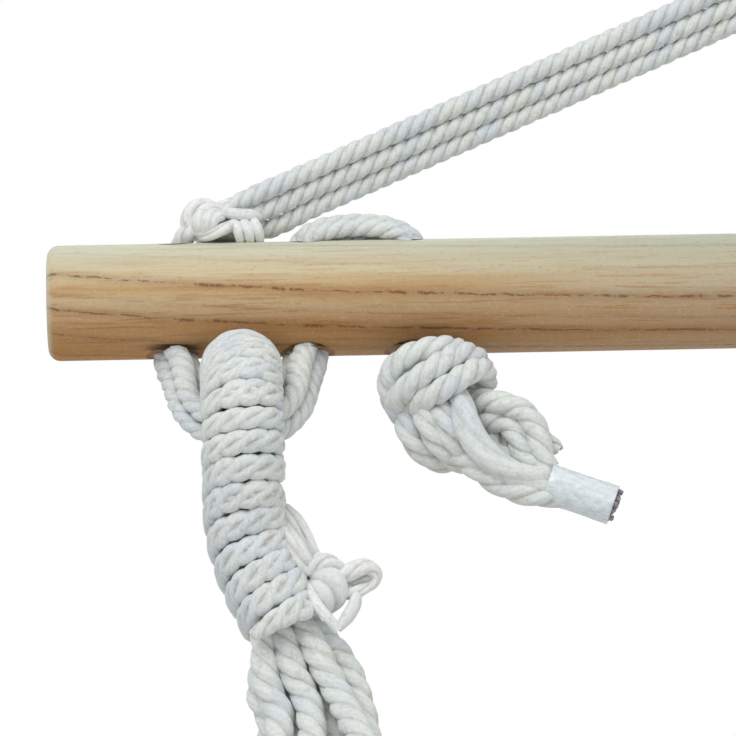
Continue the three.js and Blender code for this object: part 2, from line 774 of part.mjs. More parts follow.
function add(group, name, geometry, color, roughness, metalness = 0) {
  const mesh = new THREE.Mesh(geometry, new THREE.MeshStandardMaterial({ color, roughness, metalness }));
  mesh.name = name;
  group.add(mesh);
}

const ringGroup = new THREE.Group();
ringGroup.position.set(0, 0, -ringHoleRadius);
chair.add(ringGroup);
add(ringGroup, "hanging_ring", hangingRing(), steelColour, 0.3, 1);

["front", "middle", "back"].forEach((place, index) => {
  add(chair, `suspension_cord_${place}`, suspensionCord(cordRowShares[index]), cottonColour, 0.95);
});

const barGroup = new THREE.Group();
barGroup.position.copy(barAxis);
chair.add(barGroup);
add(barGroup, "spreader_bar", spreaderBar(), woodColour, 0.7);

const eyeWrap = eyeWrapping();
console.log(`Least gap between the winding's turns: ${leastTurnGap(eyeWrap).toFixed(2)} mm`);

for (const [name, side] of [["left", -1], ["right", 1]]) {
  add(barGroup, `${name}_top_knot`, forSide(topKnot(), side), cottonColour, 0.95);
  lashingCords().forEach((geometry, index) => {
    add(barGroup, `${name}_lashing_cord_${index + 1}`, forSide(geometry, side), cottonColour, 0.95);
  });
  add(barGroup, `${name}_stopper_knot`, forSide(stopperKnot(), side), cottonColour, 0.95);
  add(barGroup, `${name}_end_tape`, forSide(endTape(), side), tapeColour, 0.2);

  const eyeGroup = new THREE.Group();
  eyeGroup.position.set(side * eyeAt.x, eyeAt.y, eyeAt.z);
  chair.add(eyeGroup);
  add(eyeGroup, `${name}_seat_eye`, forSide(eyeCore(), side), cottonColour, 0.95);
  add(eyeGroup, `${name}_eye_whipping`, forSide(eyeWrap, side), cottonColour, 0.95);
  add(eyeGroup, `${name}_whipping_tie`, forSide(whippingTie(), side), cottonColour, 0.95);

  const starts = seatCordStarts();
  starts.forEach((start, index) => {
    const geometry = seatCord(start, index, starts.length);
    add(chair, `${name}_seat_cord_${index + 1}`, forSide(geometry, side), cottonColour, 0.95);
  });
  add(chair, `${name}_hem`, forSide(hem(), side), canvasColour, 0.95);
}

add(chair, "canvas_seat", canvasSeat(), canvasColour, 0.95);

export default chair;
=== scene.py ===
import math
import bmesh
import bpy
import numpy as np
from mathutils import Matrix, Vector


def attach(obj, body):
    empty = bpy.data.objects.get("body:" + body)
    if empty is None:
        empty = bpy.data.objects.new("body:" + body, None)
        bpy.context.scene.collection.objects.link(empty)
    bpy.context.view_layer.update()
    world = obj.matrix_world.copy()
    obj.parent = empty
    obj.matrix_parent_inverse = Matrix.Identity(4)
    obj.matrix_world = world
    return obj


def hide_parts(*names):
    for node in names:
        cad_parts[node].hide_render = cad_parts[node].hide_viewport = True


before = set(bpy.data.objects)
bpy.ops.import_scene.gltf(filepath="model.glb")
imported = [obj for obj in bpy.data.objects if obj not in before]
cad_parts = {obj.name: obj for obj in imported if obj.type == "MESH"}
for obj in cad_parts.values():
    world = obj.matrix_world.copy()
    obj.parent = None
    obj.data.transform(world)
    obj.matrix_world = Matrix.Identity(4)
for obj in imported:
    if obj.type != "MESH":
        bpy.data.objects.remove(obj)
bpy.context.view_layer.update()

# Routes and sizes in the dictionaries are in millimetres, and the meshes are in metres
mm = 0.001
scene = bpy.context.scene
bothEnds = (("left", -1), ("right", 1))


def unit(vectors):
    return vectors / np.linalg.norm(vectors, axis=-1, keepdims=True)


def eased(value, low, high):  # 0 up to low, 1 from high on, and a soft rise between them
    t = np.clip((value - low) / (high - low), 0, 1)
    return t * t * (3 - 2 * t)


def reachAlong(points):
    return np.concatenate([[0], np.cumsum(np.linalg.norm(np.diff(points, axis=0), axis=1))])


def evenly(points, spacing):
    reach = reachAlong(points)
    count = max(int(round(reach[-1] / spacing)), 4) + 1
    at = np.linspace(0, reach[-1], count)
    return np.stack([np.interp(at, reach, points[:, k]) for k in range(3)], axis=1)


def smoothed(points, spacing):  # one smooth curve through the points, cut at even steps
    points = np.asarray(points, float)
    reach = reachAlong(points)
    slopes = np.gradient(points, reach, axis=0)
    fine = np.linspace(0, reach[-1], max(int(reach[-1] / spacing * 3), 12))
    i = np.clip(np.searchsorted(reach, fine, side="right") - 1, 0, len(points) - 2)
    h = (reach[i + 1] - reach[i])[:, None]
    t = (fine - reach[i])[:, None] / h
    curve = (1 + 2 * t) * (1 - t) ** 2 * points[i] + t * (1 - t) ** 2 * h * slopes[i]
    curve += t * t * (3 - 2 * t) * points[i + 1] + t * t * (t - 1) * h * slopes[i + 1]
    return evenly(curve, spacing)


def framesAlong(points, start=None):  # directions that follow the route without turning round it
    tangents = unit(np.gradient(points, axis=0))
    normal = np.eye(3)[np.argmin(np.abs(tangents[0]))] if start is None else np.array(start, float)
    normals = np.empty_like(tangents)
    for k, tangent in enumerate(tangents):
        normal = normal - tangent * normal.dot(tangent)
        normal = normal / np.linalg.norm(normal)
        normals[k] = normal
    return tangents, normals, np.cross(tangents, normals)


def mirrored(points, side):
    return np.asarray(points, float) * np.array([side, 1, 1])


# camera
view = {
    "lookAt": (-401.2, 0, -278.04),
    "yaw": -1.7921,
    "elevation": -14.5188,
    "roll": -1.538,
    "distance": 1500.2,
    "fieldOfView": 8.6476,
}
yaw, elevation = math.radians(view["yaw"]), math.radians(view["elevation"])
back = Vector((math.sin(yaw) * math.cos(elevation), -math.cos(yaw) * math.cos(elevation), math.sin(elevation)))
cameraData = bpy.data.cameras.new("camera")
cameraData.angle = math.radians(view["fieldOfView"])
cameraData.clip_start = 0.05
cameraData.clip_end = 50
camera = bpy.data.objects.new("camera", cameraData)
scene.collection.objects.link(camera)
turn = back.to_track_quat("Z", "Y").to_matrix().to_4x4()
place = Matrix.Translation((Vector(view["lookAt"]) + back * view["distance"]) * mm)
camera.matrix_world = place @ turn @ Matrix.Rotation(math.radians(view["roll"]), 4, "Z")
scene.camera = camera
print("camera set")


# materials
def paint(code):
    parts = [int(code[k:k + 2], 16) / 255 for k in (0, 2, 4)]
    return tuple(c / 12.92 if c <= 0.04045 else ((c + 0.055) / 1.055) ** 2.4 for c in parts) + (1,)


def put(tree, kind, inputs=None, **settings):
    made = tree.nodes.new(kind)
    for name, value in settings.items():
        setattr(made, name, value)
    for key, value in (inputs or {}).items():
        if isinstance(value, bpy.types.NodeSocket):
            tree.links.new(value, made.inputs[key])
        else:
            made.inputs[key].default_value = value
    return made


def sums(tree, operation, a, b=0.0, clamp=False):
    return put(tree, "ShaderNodeMath", {0: a, 1: b}, operation=operation, use_clamp=clamp).outputs[0]


def ramped(tree, value, low, high, toLow=0.0, toHigh=1.0):
    return put(tree, "ShaderNodeMapRange", {
        "Value": value, "From Min": low, "From Max": high, "To Min": toLow, "To Max": toHigh,
    }, interpolation_type="SMOOTHSTEP").outputs[0]


def mixed(tree, share, a, b):
    made = put(tree, "ShaderNodeMix", {0: share, 6: a, 7: b}, data_type="RGBA")
    return made.outputs[2]


def noised(tree, vector, scale, detail=3.0, roughness=0.55):
    made = put(tree, "ShaderNodeTexNoise", {
        "Vector": vector, "Scale": scale, "Detail": detail, "Roughness": roughness,
    })
    return made.outputs["Fac"]


def newGroup(name, inputs, outputs):
    tree = bpy.data.node_groups.new(name, "ShaderNodeTree")
    for label, kind in inputs:
        tree.interface.new_socket(name=label, in_out="INPUT", socket_type=kind)
    for label, kind in outputs:
        tree.interface.new_socket(name=label, in_out="OUTPUT", socket_type=kind)
    return tree, tree.nodes.new("NodeGroupInput").outputs, tree.nodes.new("NodeGroupOutput")


def finishOf(name, look):  # a material with its shader's plain values, and the tree to fill
    material = bpy.data.materials.new(name)
    material.use_nodes = True
    tree = material.node_tree
    shader = tree.nodes["Principled BSDF"]
    for key, value in look.items():
        shader.inputs[key].default_value = value
    return material, tree, shader


colourKind, numberKind, vectorKind = "NodeSocketColor", "NodeSocketFloat", "NodeSocketVector"

# twisted yarns that follow a strand, with patchy painted shade in the grooves between the strands and faint painted
# shade between the yarns
yarnGroup, given, wanted = newGroup("yarnTwist", [
    ("Pale", colourKind), ("Groove", colourKind), ("Tint", colourKind), ("Yarns", numberKind), ("Fuzz", numberKind),
], [("Colour", colourKind), ("Height", numberKind)])
yarn = put(yarnGroup, "ShaderNodeAttribute", attribute_name="yarn").outputs["Vector"]
crevice = put(yarnGroup, "ShaderNodeAttribute", attribute_name="crevice").outputs["Fac"]
tone = put(yarnGroup, "ShaderNodeAttribute", attribute_name="tone").outputs["Fac"]
across = put(yarnGroup, "ShaderNodeSeparateXYZ", {0: yarn}).outputs
angle = sums(yarnGroup, "ARCTAN2", across[1], across[0])
objectPlace = put(yarnGroup, "ShaderNodeTexCoord").outputs["Object"]
ridge = sums(yarnGroup, "SINE", sums(yarnGroup, "MULTIPLY", angle, given["Yarns"]))
ridge = sums(yarnGroup, "ADD", sums(yarnGroup, "MULTIPLY", ridge, 0.5), 0.5)
fine = noised(yarnGroup, objectPlace, 2600.0, 3.0, 0.7)
patches = noised(yarnGroup, objectPlace, 55.0, 2.0)
tintShare = ramped(yarnGroup, sums(yarnGroup, "ADD", patches, sums(yarnGroup, "MULTIPLY", tone, 0.12)), 0.42, 0.68)
soft = mixed(yarnGroup, tintShare, given["Pale"], given["Tint"])
# painted shade: the valleys between the yarns are darkened a little toward the Groove colour
soft = mixed(yarnGroup, ramped(yarnGroup, ridge, 0.0, 0.5, 0.08, 0.0), soft, given["Groove"])
fluff = noised(yarnGroup, objectPlace, 1100.0, 4.0, 0.75)
soft = mixed(yarnGroup, ramped(yarnGroup, fluff, 0.35, 0.6, 0.15, 0.0), soft, given["Groove"])
mottle = noised(yarnGroup, objectPlace, 380.0, 3.0, 0.6)
soft = mixed(yarnGroup, ramped(yarnGroup, mottle, 0.5, 0.68, 0.0, 0.2), soft, given["Groove"])
# painted shade: the grooves between a rope's strands are darkened toward the Groove colour, in patches
grooveShade = sums(yarnGroup, "MULTIPLY", crevice,
            ramped(yarnGroup, noised(yarnGroup, objectPlace, 130.0), 0.3, 0.62, 0.4, 1.0))
soft = mixed(yarnGroup, sums(yarnGroup, "MULTIPLY", grooveShade, 0.75), soft, given["Groove"])
height = sums(yarnGroup, "ADD", sums(yarnGroup, "MULTIPLY", ridge, 0.25),
              sums(yarnGroup, "MULTIPLY", sums(yarnGroup, "ADD", fine, fluff), given["Fuzz"]))
yarnGroup.links.new(soft, wanted.inputs["Colour"])
yarnGroup.links.new(height, wanted.inputs["Height"])


def cottonFinish(name, look):
    material, tree, shader = finishOf(name, {
        "Roughness": 0.92, "Sheen Weight": 0.25, "Sheen Roughness": 0.5, "Specular IOR Level": 0.2,
    })
    twist = put(tree, "ShaderNodeGroup", node_tree=yarnGroup)
    for key in ("Pale", "Groove", "Tint"):
        twist.inputs[key].default_value = paint(look[key])
    twist.inputs["Yarns"].default_value = look["Yarns"]
    twist.inputs["Fuzz"].default_value = look["Fuzz"]
    bump = put(tree, "ShaderNodeBump",
               {"Height": twist.outputs["Height"], "Strength": look["Bump"], "Distance": 0.0007})
    tree.links.new(twist.outputs["Colour"], shader.inputs["Base Color"])
    tree.links.new(bump.outputs[0], shader.inputs["Normal"])
    return material


cottonRope = cottonFinish("cottonRope", {
    "Pale": "e6ece9", "Groove": "94846c", "Tint": "dce4e9", "Yarns": 7, "Fuzz": 0.8, "Bump": 0.5,
})
softCotton = cottonFinish("softCotton", {
    "Pale": "eef2f1", "Groove": "a09282", "Tint": "e4e8ea", "Yarns": 6, "Fuzz": 0.9, "Bump": 0.4,
})

# wood: pale ground, fine lines along the bar, dark broken lines and dark hole rims, with a paler top painted as light
# from above, a darker orange underside painted as shade, and a painted highlight along the ends
wood = {
    "pale": "ccc3a2", "tan": "bb9863", "brown": "9f6d38", "dark": "6a3f24", "grey": "c9cbb6", "orange": "ac7337",
    "weathered": "a3a596",
    "axisBack": 13, "axisDrop": 252, "halfLength": 500,
    "driftAngle": 43, "driftLength": 110, "driftRest": -27,
    "streaks": [(0, 2.1, 0.37, 0.95), (-21, 0.8, 0.4, 0.4), (-36, 1.8, 0.38, 0.9), (-63, 1.3, 0.4, 0.7),
                (-91, 1.3, 0.36, 0.6),
                (30, 0.7, 0.5, 0.35), (58, 1.1, 0.5, 0.5), (96, 1.5, 0.42, 0.7), (150, 1.2, 0.46, 0.6),
                (-132, 1.6, 0.4, 0.7)],
    "holes": [461, 419.5, 387], "rimFrom": 8.0, "rimTo": 8.9, "endHighlight": 2.2, "greyFrom": 60, "greyTo": 230,
}
woodFinish, tree, shader = finishOf("paleWood", {"Specular IOR Level": 0.3})
streakGroup, given, wanted = newGroup("streak", [
    ("Angle", numberKind), ("At", numberKind), ("Width", numberKind), ("Broken", numberKind),
    ("Strength", numberKind),
    ("Vector", vectorKind),
], [("Mask", numberKind)])
shifted = put(streakGroup, "ShaderNodeCombineXYZ", {1: sums(streakGroup, "MULTIPLY", given["At"], 0.01)}).outputs[0]
shifted = put(streakGroup, "ShaderNodeVectorMath", {0: given["Vector"], 1: shifted}, operation="ADD").outputs[0]
wobble = sums(streakGroup, "MULTIPLY",
              sums(streakGroup, "SUBTRACT", noised(streakGroup, shifted, 95.0, 5.0, 0.75), 0.5), 8.0)
offLine = sums(streakGroup, "SUBTRACT", sums(streakGroup, "ADD", given["Angle"], wobble), given["At"])
offLine = sums(streakGroup, "ABSOLUTE", offLine)
swell = ramped(streakGroup, noised(streakGroup, shifted, 45.0, 3.0, 0.6), 0.35, 0.7, 0.5, 2.0)
line = sums(streakGroup, "DIVIDE", offLine, sums(streakGroup, "MULTIPLY", given["Width"], swell))
line = sums(streakGroup, "SUBTRACT", 1.0, line, clamp=True)
beads = noised(streakGroup, shifted, 300.0, 4.0, 0.7)
beads = sums(streakGroup, "MULTIPLY", sums(streakGroup, "SUBTRACT", beads, given["Broken"]), 6.0, clamp=True)
dark = sums(streakGroup, "MULTIPLY", sums(streakGroup, "MULTIPLY", line, beads), given["Strength"])
halo = sums(streakGroup, "DIVIDE", offLine, sums(streakGroup, "MULTIPLY", given["Width"], 4.0))
halo = sums(streakGroup, "MULTIPLY", sums(streakGroup, "SUBTRACT", 1.0, halo, clamp=True),
            sums(streakGroup, "MULTIPLY", given["Strength"], 0.3))
streakGroup.links.new(sums(streakGroup, "MAXIMUM", dark, halo), wanted.inputs["Mask"])

objectPlace = put(tree, "ShaderNodeTexCoord").outputs["Object"]
centred = put(tree, "ShaderNodeMapping", {
    "Vector": objectPlace, "Location": (0, -wood["axisBack"] * mm, wood["axisDrop"] * mm),
}).outputs[0]
xyz = put(tree, "ShaderNodeSeparateXYZ", {0: centred}).outputs
fromEnd = sums(tree, "SUBTRACT", wood["halfLength"] * mm, sums(tree, "ABSOLUTE", xyz[0]))
drift = sums(tree, "EXPONENT", sums(tree, "DIVIDE", fromEnd, -wood["driftLength"] * mm))
drift = sums(tree, "ADD", sums(tree, "MULTIPLY", drift, wood["driftAngle"]), wood["driftRest"])
turned = sums(tree, "ARCTAN2", xyz[2], sums(tree, "MULTIPLY", xyz[1], -1.0))
turned = sums(tree, "SUBTRACT", sums(tree, "MULTIPLY", turned, 180 / math.pi), drift)
longways = put(tree, "ShaderNodeMapping", {"Vector": centred, "Scale": (0.05, 1, 1)}).outputs[0]
alongOnly = put(tree, "ShaderNodeMapping", {"Vector": centred, "Scale": (1, 0.15, 0.15)}).outputs[0]
broad = noised(tree, longways, 70.0, 3.0, 0.6)
lines = noised(tree, longways, 420.0, 4.0, 0.75)
pores = noised(tree, put(tree, "ShaderNodeMapping", {"Vector": centred, "Scale": (0.3, 1, 1)}).outputs[0], 1500.0,
               3.0, 0.7)
speckle = noised(tree, centred, 900.0, 3.0, 0.8)
hairs = noised(tree, put(tree, "ShaderNodeMapping", {"Vector": centred, "Scale": (0.035, 1, 1)}).outputs[0], 880.0,
               2.0, 0.6)
# painted shade and light: the underside is painted darker orange and the top paler grey, as light falls from above
paintedShadeUnderside = ramped(tree, xyz[2], -0.016, 0.010, 1.0, 0.0)
paintedLightTop = ramped(tree, sums(tree, "ADD", xyz[2], sums(tree, "MULTIPLY", broad, 0.006)), 0.004, 0.018)
grainShare = ramped(tree, xyz[2], -0.014, 0.012, 1.0, 0.3)
ground = mixed(tree, ramped(tree, broad, 0.34, 0.64), paint(wood["pale"]), paint(wood["tan"]))
# painted shade on the underside, then painted light on the top
ground = mixed(tree, sums(tree, "MULTIPLY", paintedShadeUnderside, 0.75), ground, paint(wood["orange"]))
ground = mixed(tree, sums(tree, "MULTIPLY", paintedLightTop, 0.95), ground, paint(wood["grey"]))
ground = mixed(tree, sums(tree, "MULTIPLY", grainShare, ramped(tree, lines, 0.5, 0.68, 0.0, 0.6)), ground,
               paint(wood["brown"]))
weathering = ramped(tree, fromEnd, wood["greyFrom"] * mm, wood["greyTo"] * mm, 0.0, 0.58)
weathering = sums(tree, "MULTIPLY", weathering, sums(tree, "SUBTRACT", 1.0, sums(tree, "MULTIPLY", paintedShadeUnderside, 0.55)))
ground = mixed(tree, weathering, ground, paint(wood["weathered"]))
ground = mixed(tree, sums(tree, "MULTIPLY", grainShare, ramped(tree, hairs, 0.58, 0.66, 0.0, 0.6)), ground,
               paint(wood["brown"]))
ground = mixed(tree, ramped(tree, pores, 0.56, 0.72, 0.0, 0.42), ground, paint(wood["brown"]))
ground = mixed(tree, ramped(tree, speckle, 0.52, 0.7, 0.0, 0.28), ground, paint(wood["pale"]))
streakMask = None
for at, width, broken, strength in wood["streaks"]:
    streak = put(tree, "ShaderNodeGroup", node_tree=streakGroup)
    tree.links.new(turned, streak.inputs["Angle"])
    tree.links.new(alongOnly, streak.inputs["Vector"])
    for key, value in (("At", at), ("Width", width), ("Broken", broken), ("Strength", strength)):
        streak.inputs[key].default_value = value
    mask = streak.outputs["Mask"]
    streakMask = mask if streakMask is None else sums(tree, "MAXIMUM", streakMask, mask)
rimMask = None
for hole in wood["holes"]:
    aside = sums(tree, "SUBTRACT", sums(tree, "ABSOLUTE", xyz[0]), hole * mm)
    away = sums(tree, "SQRT",
                sums(tree, "ADD", sums(tree, "MULTIPLY", aside, aside), sums(tree, "MULTIPLY", xyz[1], xyz[1])))
    mask = ramped(tree, away, wood["rimFrom"] * mm, wood["rimTo"] * mm, 1.0, 0.0)
    rimMask = mask if rimMask is None else sums(tree, "MAXIMUM", rimMask, mask)
ground = mixed(tree, streakMask, ground, paint(wood["dark"]))
# painted highlight: a pale grey band along the bar's rounded ends
ground = mixed(tree, ramped(tree, fromEnd, 0.0, wood["endHighlight"] * mm, 0.55, 0.0), ground, paint(wood["grey"]))
ground = mixed(tree, sums(tree, "MULTIPLY", rimMask, 0.45), ground, paint(wood["dark"]))
tree.links.new(ground, shader.inputs["Base Color"])
grainHeight = sums(tree, "SUBTRACT", sums(tree, "ADD", lines, sums(tree, "MULTIPLY", pores, 0.5)),
                   sums(tree, "MULTIPLY", streakMask, 1.5))
grainBump = put(tree, "ShaderNodeBump", {"Height": grainHeight, "Strength": 0.25, "Distance": 0.0004})
tree.links.new(grainBump.outputs[0], shader.inputs["Normal"])
tree.links.new(ramped(tree, pores, 0.3, 0.7, 0.48, 0.66), shader.inputs["Roughness"])

# steel ring: fine draw marks and a little dulling
steelFinish, tree, shader = finishOf("ringSteel", {"Metallic": 1.0})
ringPlace = put(tree, "ShaderNodeTexCoord").outputs["Object"]
marks = noised(tree, put(tree, "ShaderNodeMapping", {"Vector": ringPlace, "Scale": (4, 1, 1)}).outputs[0], 900.0,
               4.0, 0.7)
dull = noised(tree, ringPlace, 90.0, 3.0)
tree.links.new(ramped(tree, dull, 0.35, 0.7, 0.2, 0.42), shader.inputs["Roughness"])
tree.links.new(mixed(tree, ramped(tree, dull, 0.4, 0.75, 0.0, 0.5), paint("c9ccce"), paint("9b9d9f")),
               shader.inputs["Base Color"])
ringBump = put(tree, "ShaderNodeBump", {"Height": marks, "Strength": 0.15, "Distance": 0.0002})
tree.links.new(ringBump.outputs[0], shader.inputs["Normal"])

# tape: clear glossy film over the cotton, streaked along the tail
tapeFinish, tree, shader = finishOf("clearTape", {"Roughness": 0.16, "Coat Weight": 0.6, "Coat Roughness": 0.08})
tapeUv = put(tree, "ShaderNodeUVMap", uv_map="UVMap").outputs[0]
streaky = noised(tree, put(tree, "ShaderNodeMapping", {"Vector": tapeUv, "Scale": (2.2, 8, 1)}).outputs[0], 3.0,
                 4.0, 0.6)
wrinkle = noised(tree, put(tree, "ShaderNodeMapping", {"Vector": tapeUv, "Scale": (4, 6, 1)}).outputs[0], 2.0, 2.0)
film = mixed(tree, ramped(tree, streaky, 0.35, 0.65), paint("dfe8ec"), paint("cdd6db"))
film = mixed(tree, ramped(tree, streaky, 0.62, 0.75, 0.0, 0.4), film, paint("b2afae"))
tree.links.new(film, shader.inputs["Base Color"])
tapeBump = put(tree, "ShaderNodeBump",
               {"Height": sums(tree, "ADD", wrinkle, sums(tree, "MULTIPLY", streaky, 0.4)), "Strength": 0.9,
                "Distance": 0.0006})
tree.links.new(tapeBump.outputs[0], shader.inputs["Normal"])

# weave that the seat's cloth, its hems and their thread share
weaveGroup, given, wanted = newGroup("weave", [
    ("Vector", vectorKind), ("Threads", numberKind), ("Warp", colourKind), ("Weft", colourKind),
], [("Colour", colourKind), ("Height", numberKind)])
flatPlace = put(weaveGroup, "ShaderNodeVectorMath", {0: given["Vector"]}, operation="SCALE")
weaveGroup.links.new(given["Threads"], flatPlace.inputs["Scale"])
uv = put(weaveGroup, "ShaderNodeSeparateXYZ", {0: flatPlace.outputs[0]}).outputs
overUnder = sums(weaveGroup, "MULTIPLY", sums(weaveGroup, "SINE", uv[0]), sums(weaveGroup, "SINE", uv[1]))
slubs = noised(weaveGroup,
               put(weaveGroup, "ShaderNodeMapping", {"Vector": given["Vector"], "Scale": (1, 0.06, 1)}).outputs[0],
               900.0, 2.0)
slubs2 = noised(weaveGroup,
                put(weaveGroup, "ShaderNodeMapping", {"Vector": given["Vector"], "Scale": (0.06, 1, 1)}).outputs[0],
                900.0, 2.0)
slubs = sums(weaveGroup, "MAXIMUM", slubs, slubs2)
worn = noised(weaveGroup, given["Vector"], 9.0, 3.0)
cloth = mixed(weaveGroup, ramped(weaveGroup, overUnder, -0.6, 0.6), given["Weft"], given["Warp"])
cloth = mixed(weaveGroup, ramped(weaveGroup, slubs, 0.55, 0.75, 0.0, 0.35), cloth, given["Weft"])
cloth = mixed(weaveGroup, ramped(weaveGroup, worn, 0.45, 0.75, 0.0, 0.3), cloth, given["Warp"])
weaveGroup.links.new(cloth, wanted.inputs["Colour"])
weaveGroup.links.new(sums(weaveGroup, "ADD", overUnder, slubs), wanted.inputs["Height"])


def clothFinish(name, look):
    material, tree, shader = finishOf(name, {"Roughness": 0.9, "Sheen Weight": 0.2, "Specular IOR Level": 0.2})
    weave = put(tree, "ShaderNodeGroup", {"Vector": put(tree, "ShaderNodeUVMap", uv_map="UVMap").outputs[0]},
                node_tree=weaveGroup)
    weave.inputs["Threads"].default_value = look["Threads"]
    weave.inputs["Warp"].default_value = paint(look["Warp"])
    weave.inputs["Weft"].default_value = paint(look["Weft"])
    bump = put(tree, "ShaderNodeBump",
               {"Height": weave.outputs["Height"], "Strength": look["Bump"], "Distance": 0.0003})
    tree.links.new(weave.outputs["Colour"], shader.inputs["Base Color"])
    tree.links.new(bump.outputs[0], shader.inputs["Normal"])
    return material


canvasFinish = clothFinish("seatCanvas", {"Threads": 4200.0, "Warp": "efece0", "Weft": "ddd7c4", "Bump": 0.5})
hemFinish = clothFinish("hemCanvas", {"Threads": 4200.0, "Warp": "ece8da", "Weft": "d6cfba", "Bump": 0.6})
threadFinish = clothFinish("hemThread", {"Threads": 9000.0, "Warp": "f4f1e8", "Weft": "cfc7b2", "Bump": 0.4})
print("materials made")


def settled(name, mesh, material, body, nodes):
    mesh.materials.clear()
    mesh.materials.append(material)
    mesh.polygons.foreach_set("use_smooth", [True] * len(mesh.polygons))
    mesh.update()
    piece = bpy.data.objects.new(name, mesh)
    scene.collection.objects.link(piece)
    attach(piece, body)
    if nodes:
        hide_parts(*nodes)
    return piece


def tubeMesh(name, runs, sides):  # runs: list of (points in mm, radii in mm)
    curve = bpy.data.curves.new(name, "CURVE")
    curve.dimensions = "3D"
    curve.bevel_depth = mm
    curve.bevel_resolution = (sides - 4) // 2
    curve.use_fill_caps = False
    for points, radii in runs:
        spline = curve.splines.new("POLY")
        spline.points.add(len(points) - 1)
        spline.points.foreach_set("co", np.column_stack([points * mm, np.ones(len(points))]).ravel())
        spline.points.foreach_set("radius", np.broadcast_to(radii, len(points)).astype(float))
    holder = bpy.data.objects.new(name, curve)
    scene.collection.objects.link(holder)
    ready = holder.evaluated_get(bpy.context.evaluated_depsgraph_get())
    mesh = bpy.data.meshes.new_from_object(ready)
    bpy.data.objects.remove(holder)
    bpy.data.curves.remove(curve)
    mesh.name = name
    return mesh


def closeEnds(mesh):
    build = bmesh.new()
    build.from_mesh(mesh)
    ends = bmesh.ops.holes_fill(build, edges=[edge for edge in build.edges if edge.is_boundary], sides=0)
    for end in ends["faces"]:
        for rim in end.edges:
            rim.smooth = False
    build.to_mesh(mesh)
    build.free()


# ropes: how thick one, two or three strands are in a rope, and how their yarns and the painted shade in their grooves
# lie
ropeLook = {
    "strandShares": {1: 1.0, 2: 0.54, 3: 0.485}, "stepsInLay": 12, "tucked": 0.95,
    "yarnLay": 1.1, "plainYarnLay": 90, "grooveShadeAt": 0.88, "grooveShadeOver": 0.25,
}
seeded = np.random.default_rng(7)


def strandsOf(rope):  # the rope's strands: each a helix in the rope's own directions
    points = rope["points"]
    if "frames" in rope:
        normals, binormals = rope["frames"]
    else:
        normals, binormals = framesAlong(points)[1:]
    reach = reachAlong(points)
    halfN = np.broadcast_to(rope.get("halfN", rope.get("radius")), len(points)).astype(float)
    halfB = np.broadcast_to(rope.get("halfB", rope.get("radius")), len(points)).astype(float)
    count = rope.get("strands", 3)
    strandShare = ropeLook["strandShares"][count]
    radii = np.minimum(np.sqrt(halfN * halfB) * strandShare * rope.get("plump", 1.14), np.minimum(halfN, halfB))
    middles = []
    for k in range(count):
        turn = rope.get("phase", 0) + 2 * math.pi * k / count - 2 * math.pi * reach / rope["pitch"]
        middle = points + normals * ((halfN - radii) * np.cos(turn))[:, None]
        middles.append(middle + binormals * ((halfB - radii) * np.sin(turn))[:, None])
    first, last = rope.get("keep", (0, len(points) - 1))  # a piece may be a length of a longer rope
    kept = slice(first, last + 1)
    if "tuck" in rope:  # its ends go on inside the lengths that it meets
        radii[first:first + rope["tuck"]] *= ropeLook["tucked"]
        radii[last + 1 - rope["tuck"]:last + 1] *= ropeLook["tucked"]
    strands = [(middle[kept], radii[kept]) for middle in middles]
    return strands, [row[kept] for row in (points, normals, binormals, halfN, halfB, reach)]


def ropeMesh(name, ropes, sides=8):
    runs, owners = [], []
    for rope in ropes:
        strands, guide = strandsOf(rope)
        runs += strands
        owners += [(rope, guide)] * len(strands)
    mesh = tubeMesh(name, runs, sides)
    found = np.empty(len(mesh.vertices) * 3)
    mesh.vertices.foreach_get("co", found)
    found = found.reshape(-1, 3) / mm
    yarn = np.zeros((len(found), 3))
    crevice = np.zeros(len(found))
    tone = np.zeros(len(found))
    at = 0
    for (middle, radii), (rope, guide) in zip(runs, owners):
        points, normals, binormals, halfN, halfB, reach = guide
        size = len(middle) * sides
        ring = found[at:at + size].reshape(len(middle), sides, 3)
        spoke = unit(ring - middle[:, None])
        own = framesAlong(middle)
        angle = np.arctan2((spoke * own[2][:, None]).sum(2), (spoke * own[1][:, None]).sum(2))
        twisted = rope.get("strands", 3) > 1
        yarnLay = rope["pitch"] * ropeLook["yarnLay"] if twisted else ropeLook["plainYarnLay"]
        angle = angle + 2 * math.pi * reachAlong(middle)[:, None] / yarnLay
        yarn[at:at + size] = np.stack([np.cos(angle), np.sin(angle), np.repeat(reach[:, None], sides, 1)],
                                      2).reshape(-1, 3)
        local = ring - points[:, None]
        out = np.hypot((local * normals[:, None]).sum(2) / halfN[:, None],
                       (local * binormals[:, None]).sum(2) / halfB[:, None])
        if twisted:
            # painted shade: the crevice mask darkens the grooves between the strands, deeper points more
            crevice[at:at + size] = np.clip((ropeLook["grooveShadeAt"] - out) / ropeLook["grooveShadeOver"], 0, 1).reshape(-1)
        tone[at:at + size] = seeded.uniform(-1, 1)
        at += size
    if at != len(found):
        raise RuntimeError(name + ": the tube has other rings than its route")
    mesh.attributes.new("yarn", "FLOAT_VECTOR", "POINT").data.foreach_set("vector", yarn.ravel())
    mesh.attributes.new("crevice", "FLOAT", "POINT").data.foreach_set("value", crevice)
    mesh.attributes.new("tone", "FLOAT", "POINT").data.foreach_set("value", tone)
    closeEnds(mesh)
    return mesh


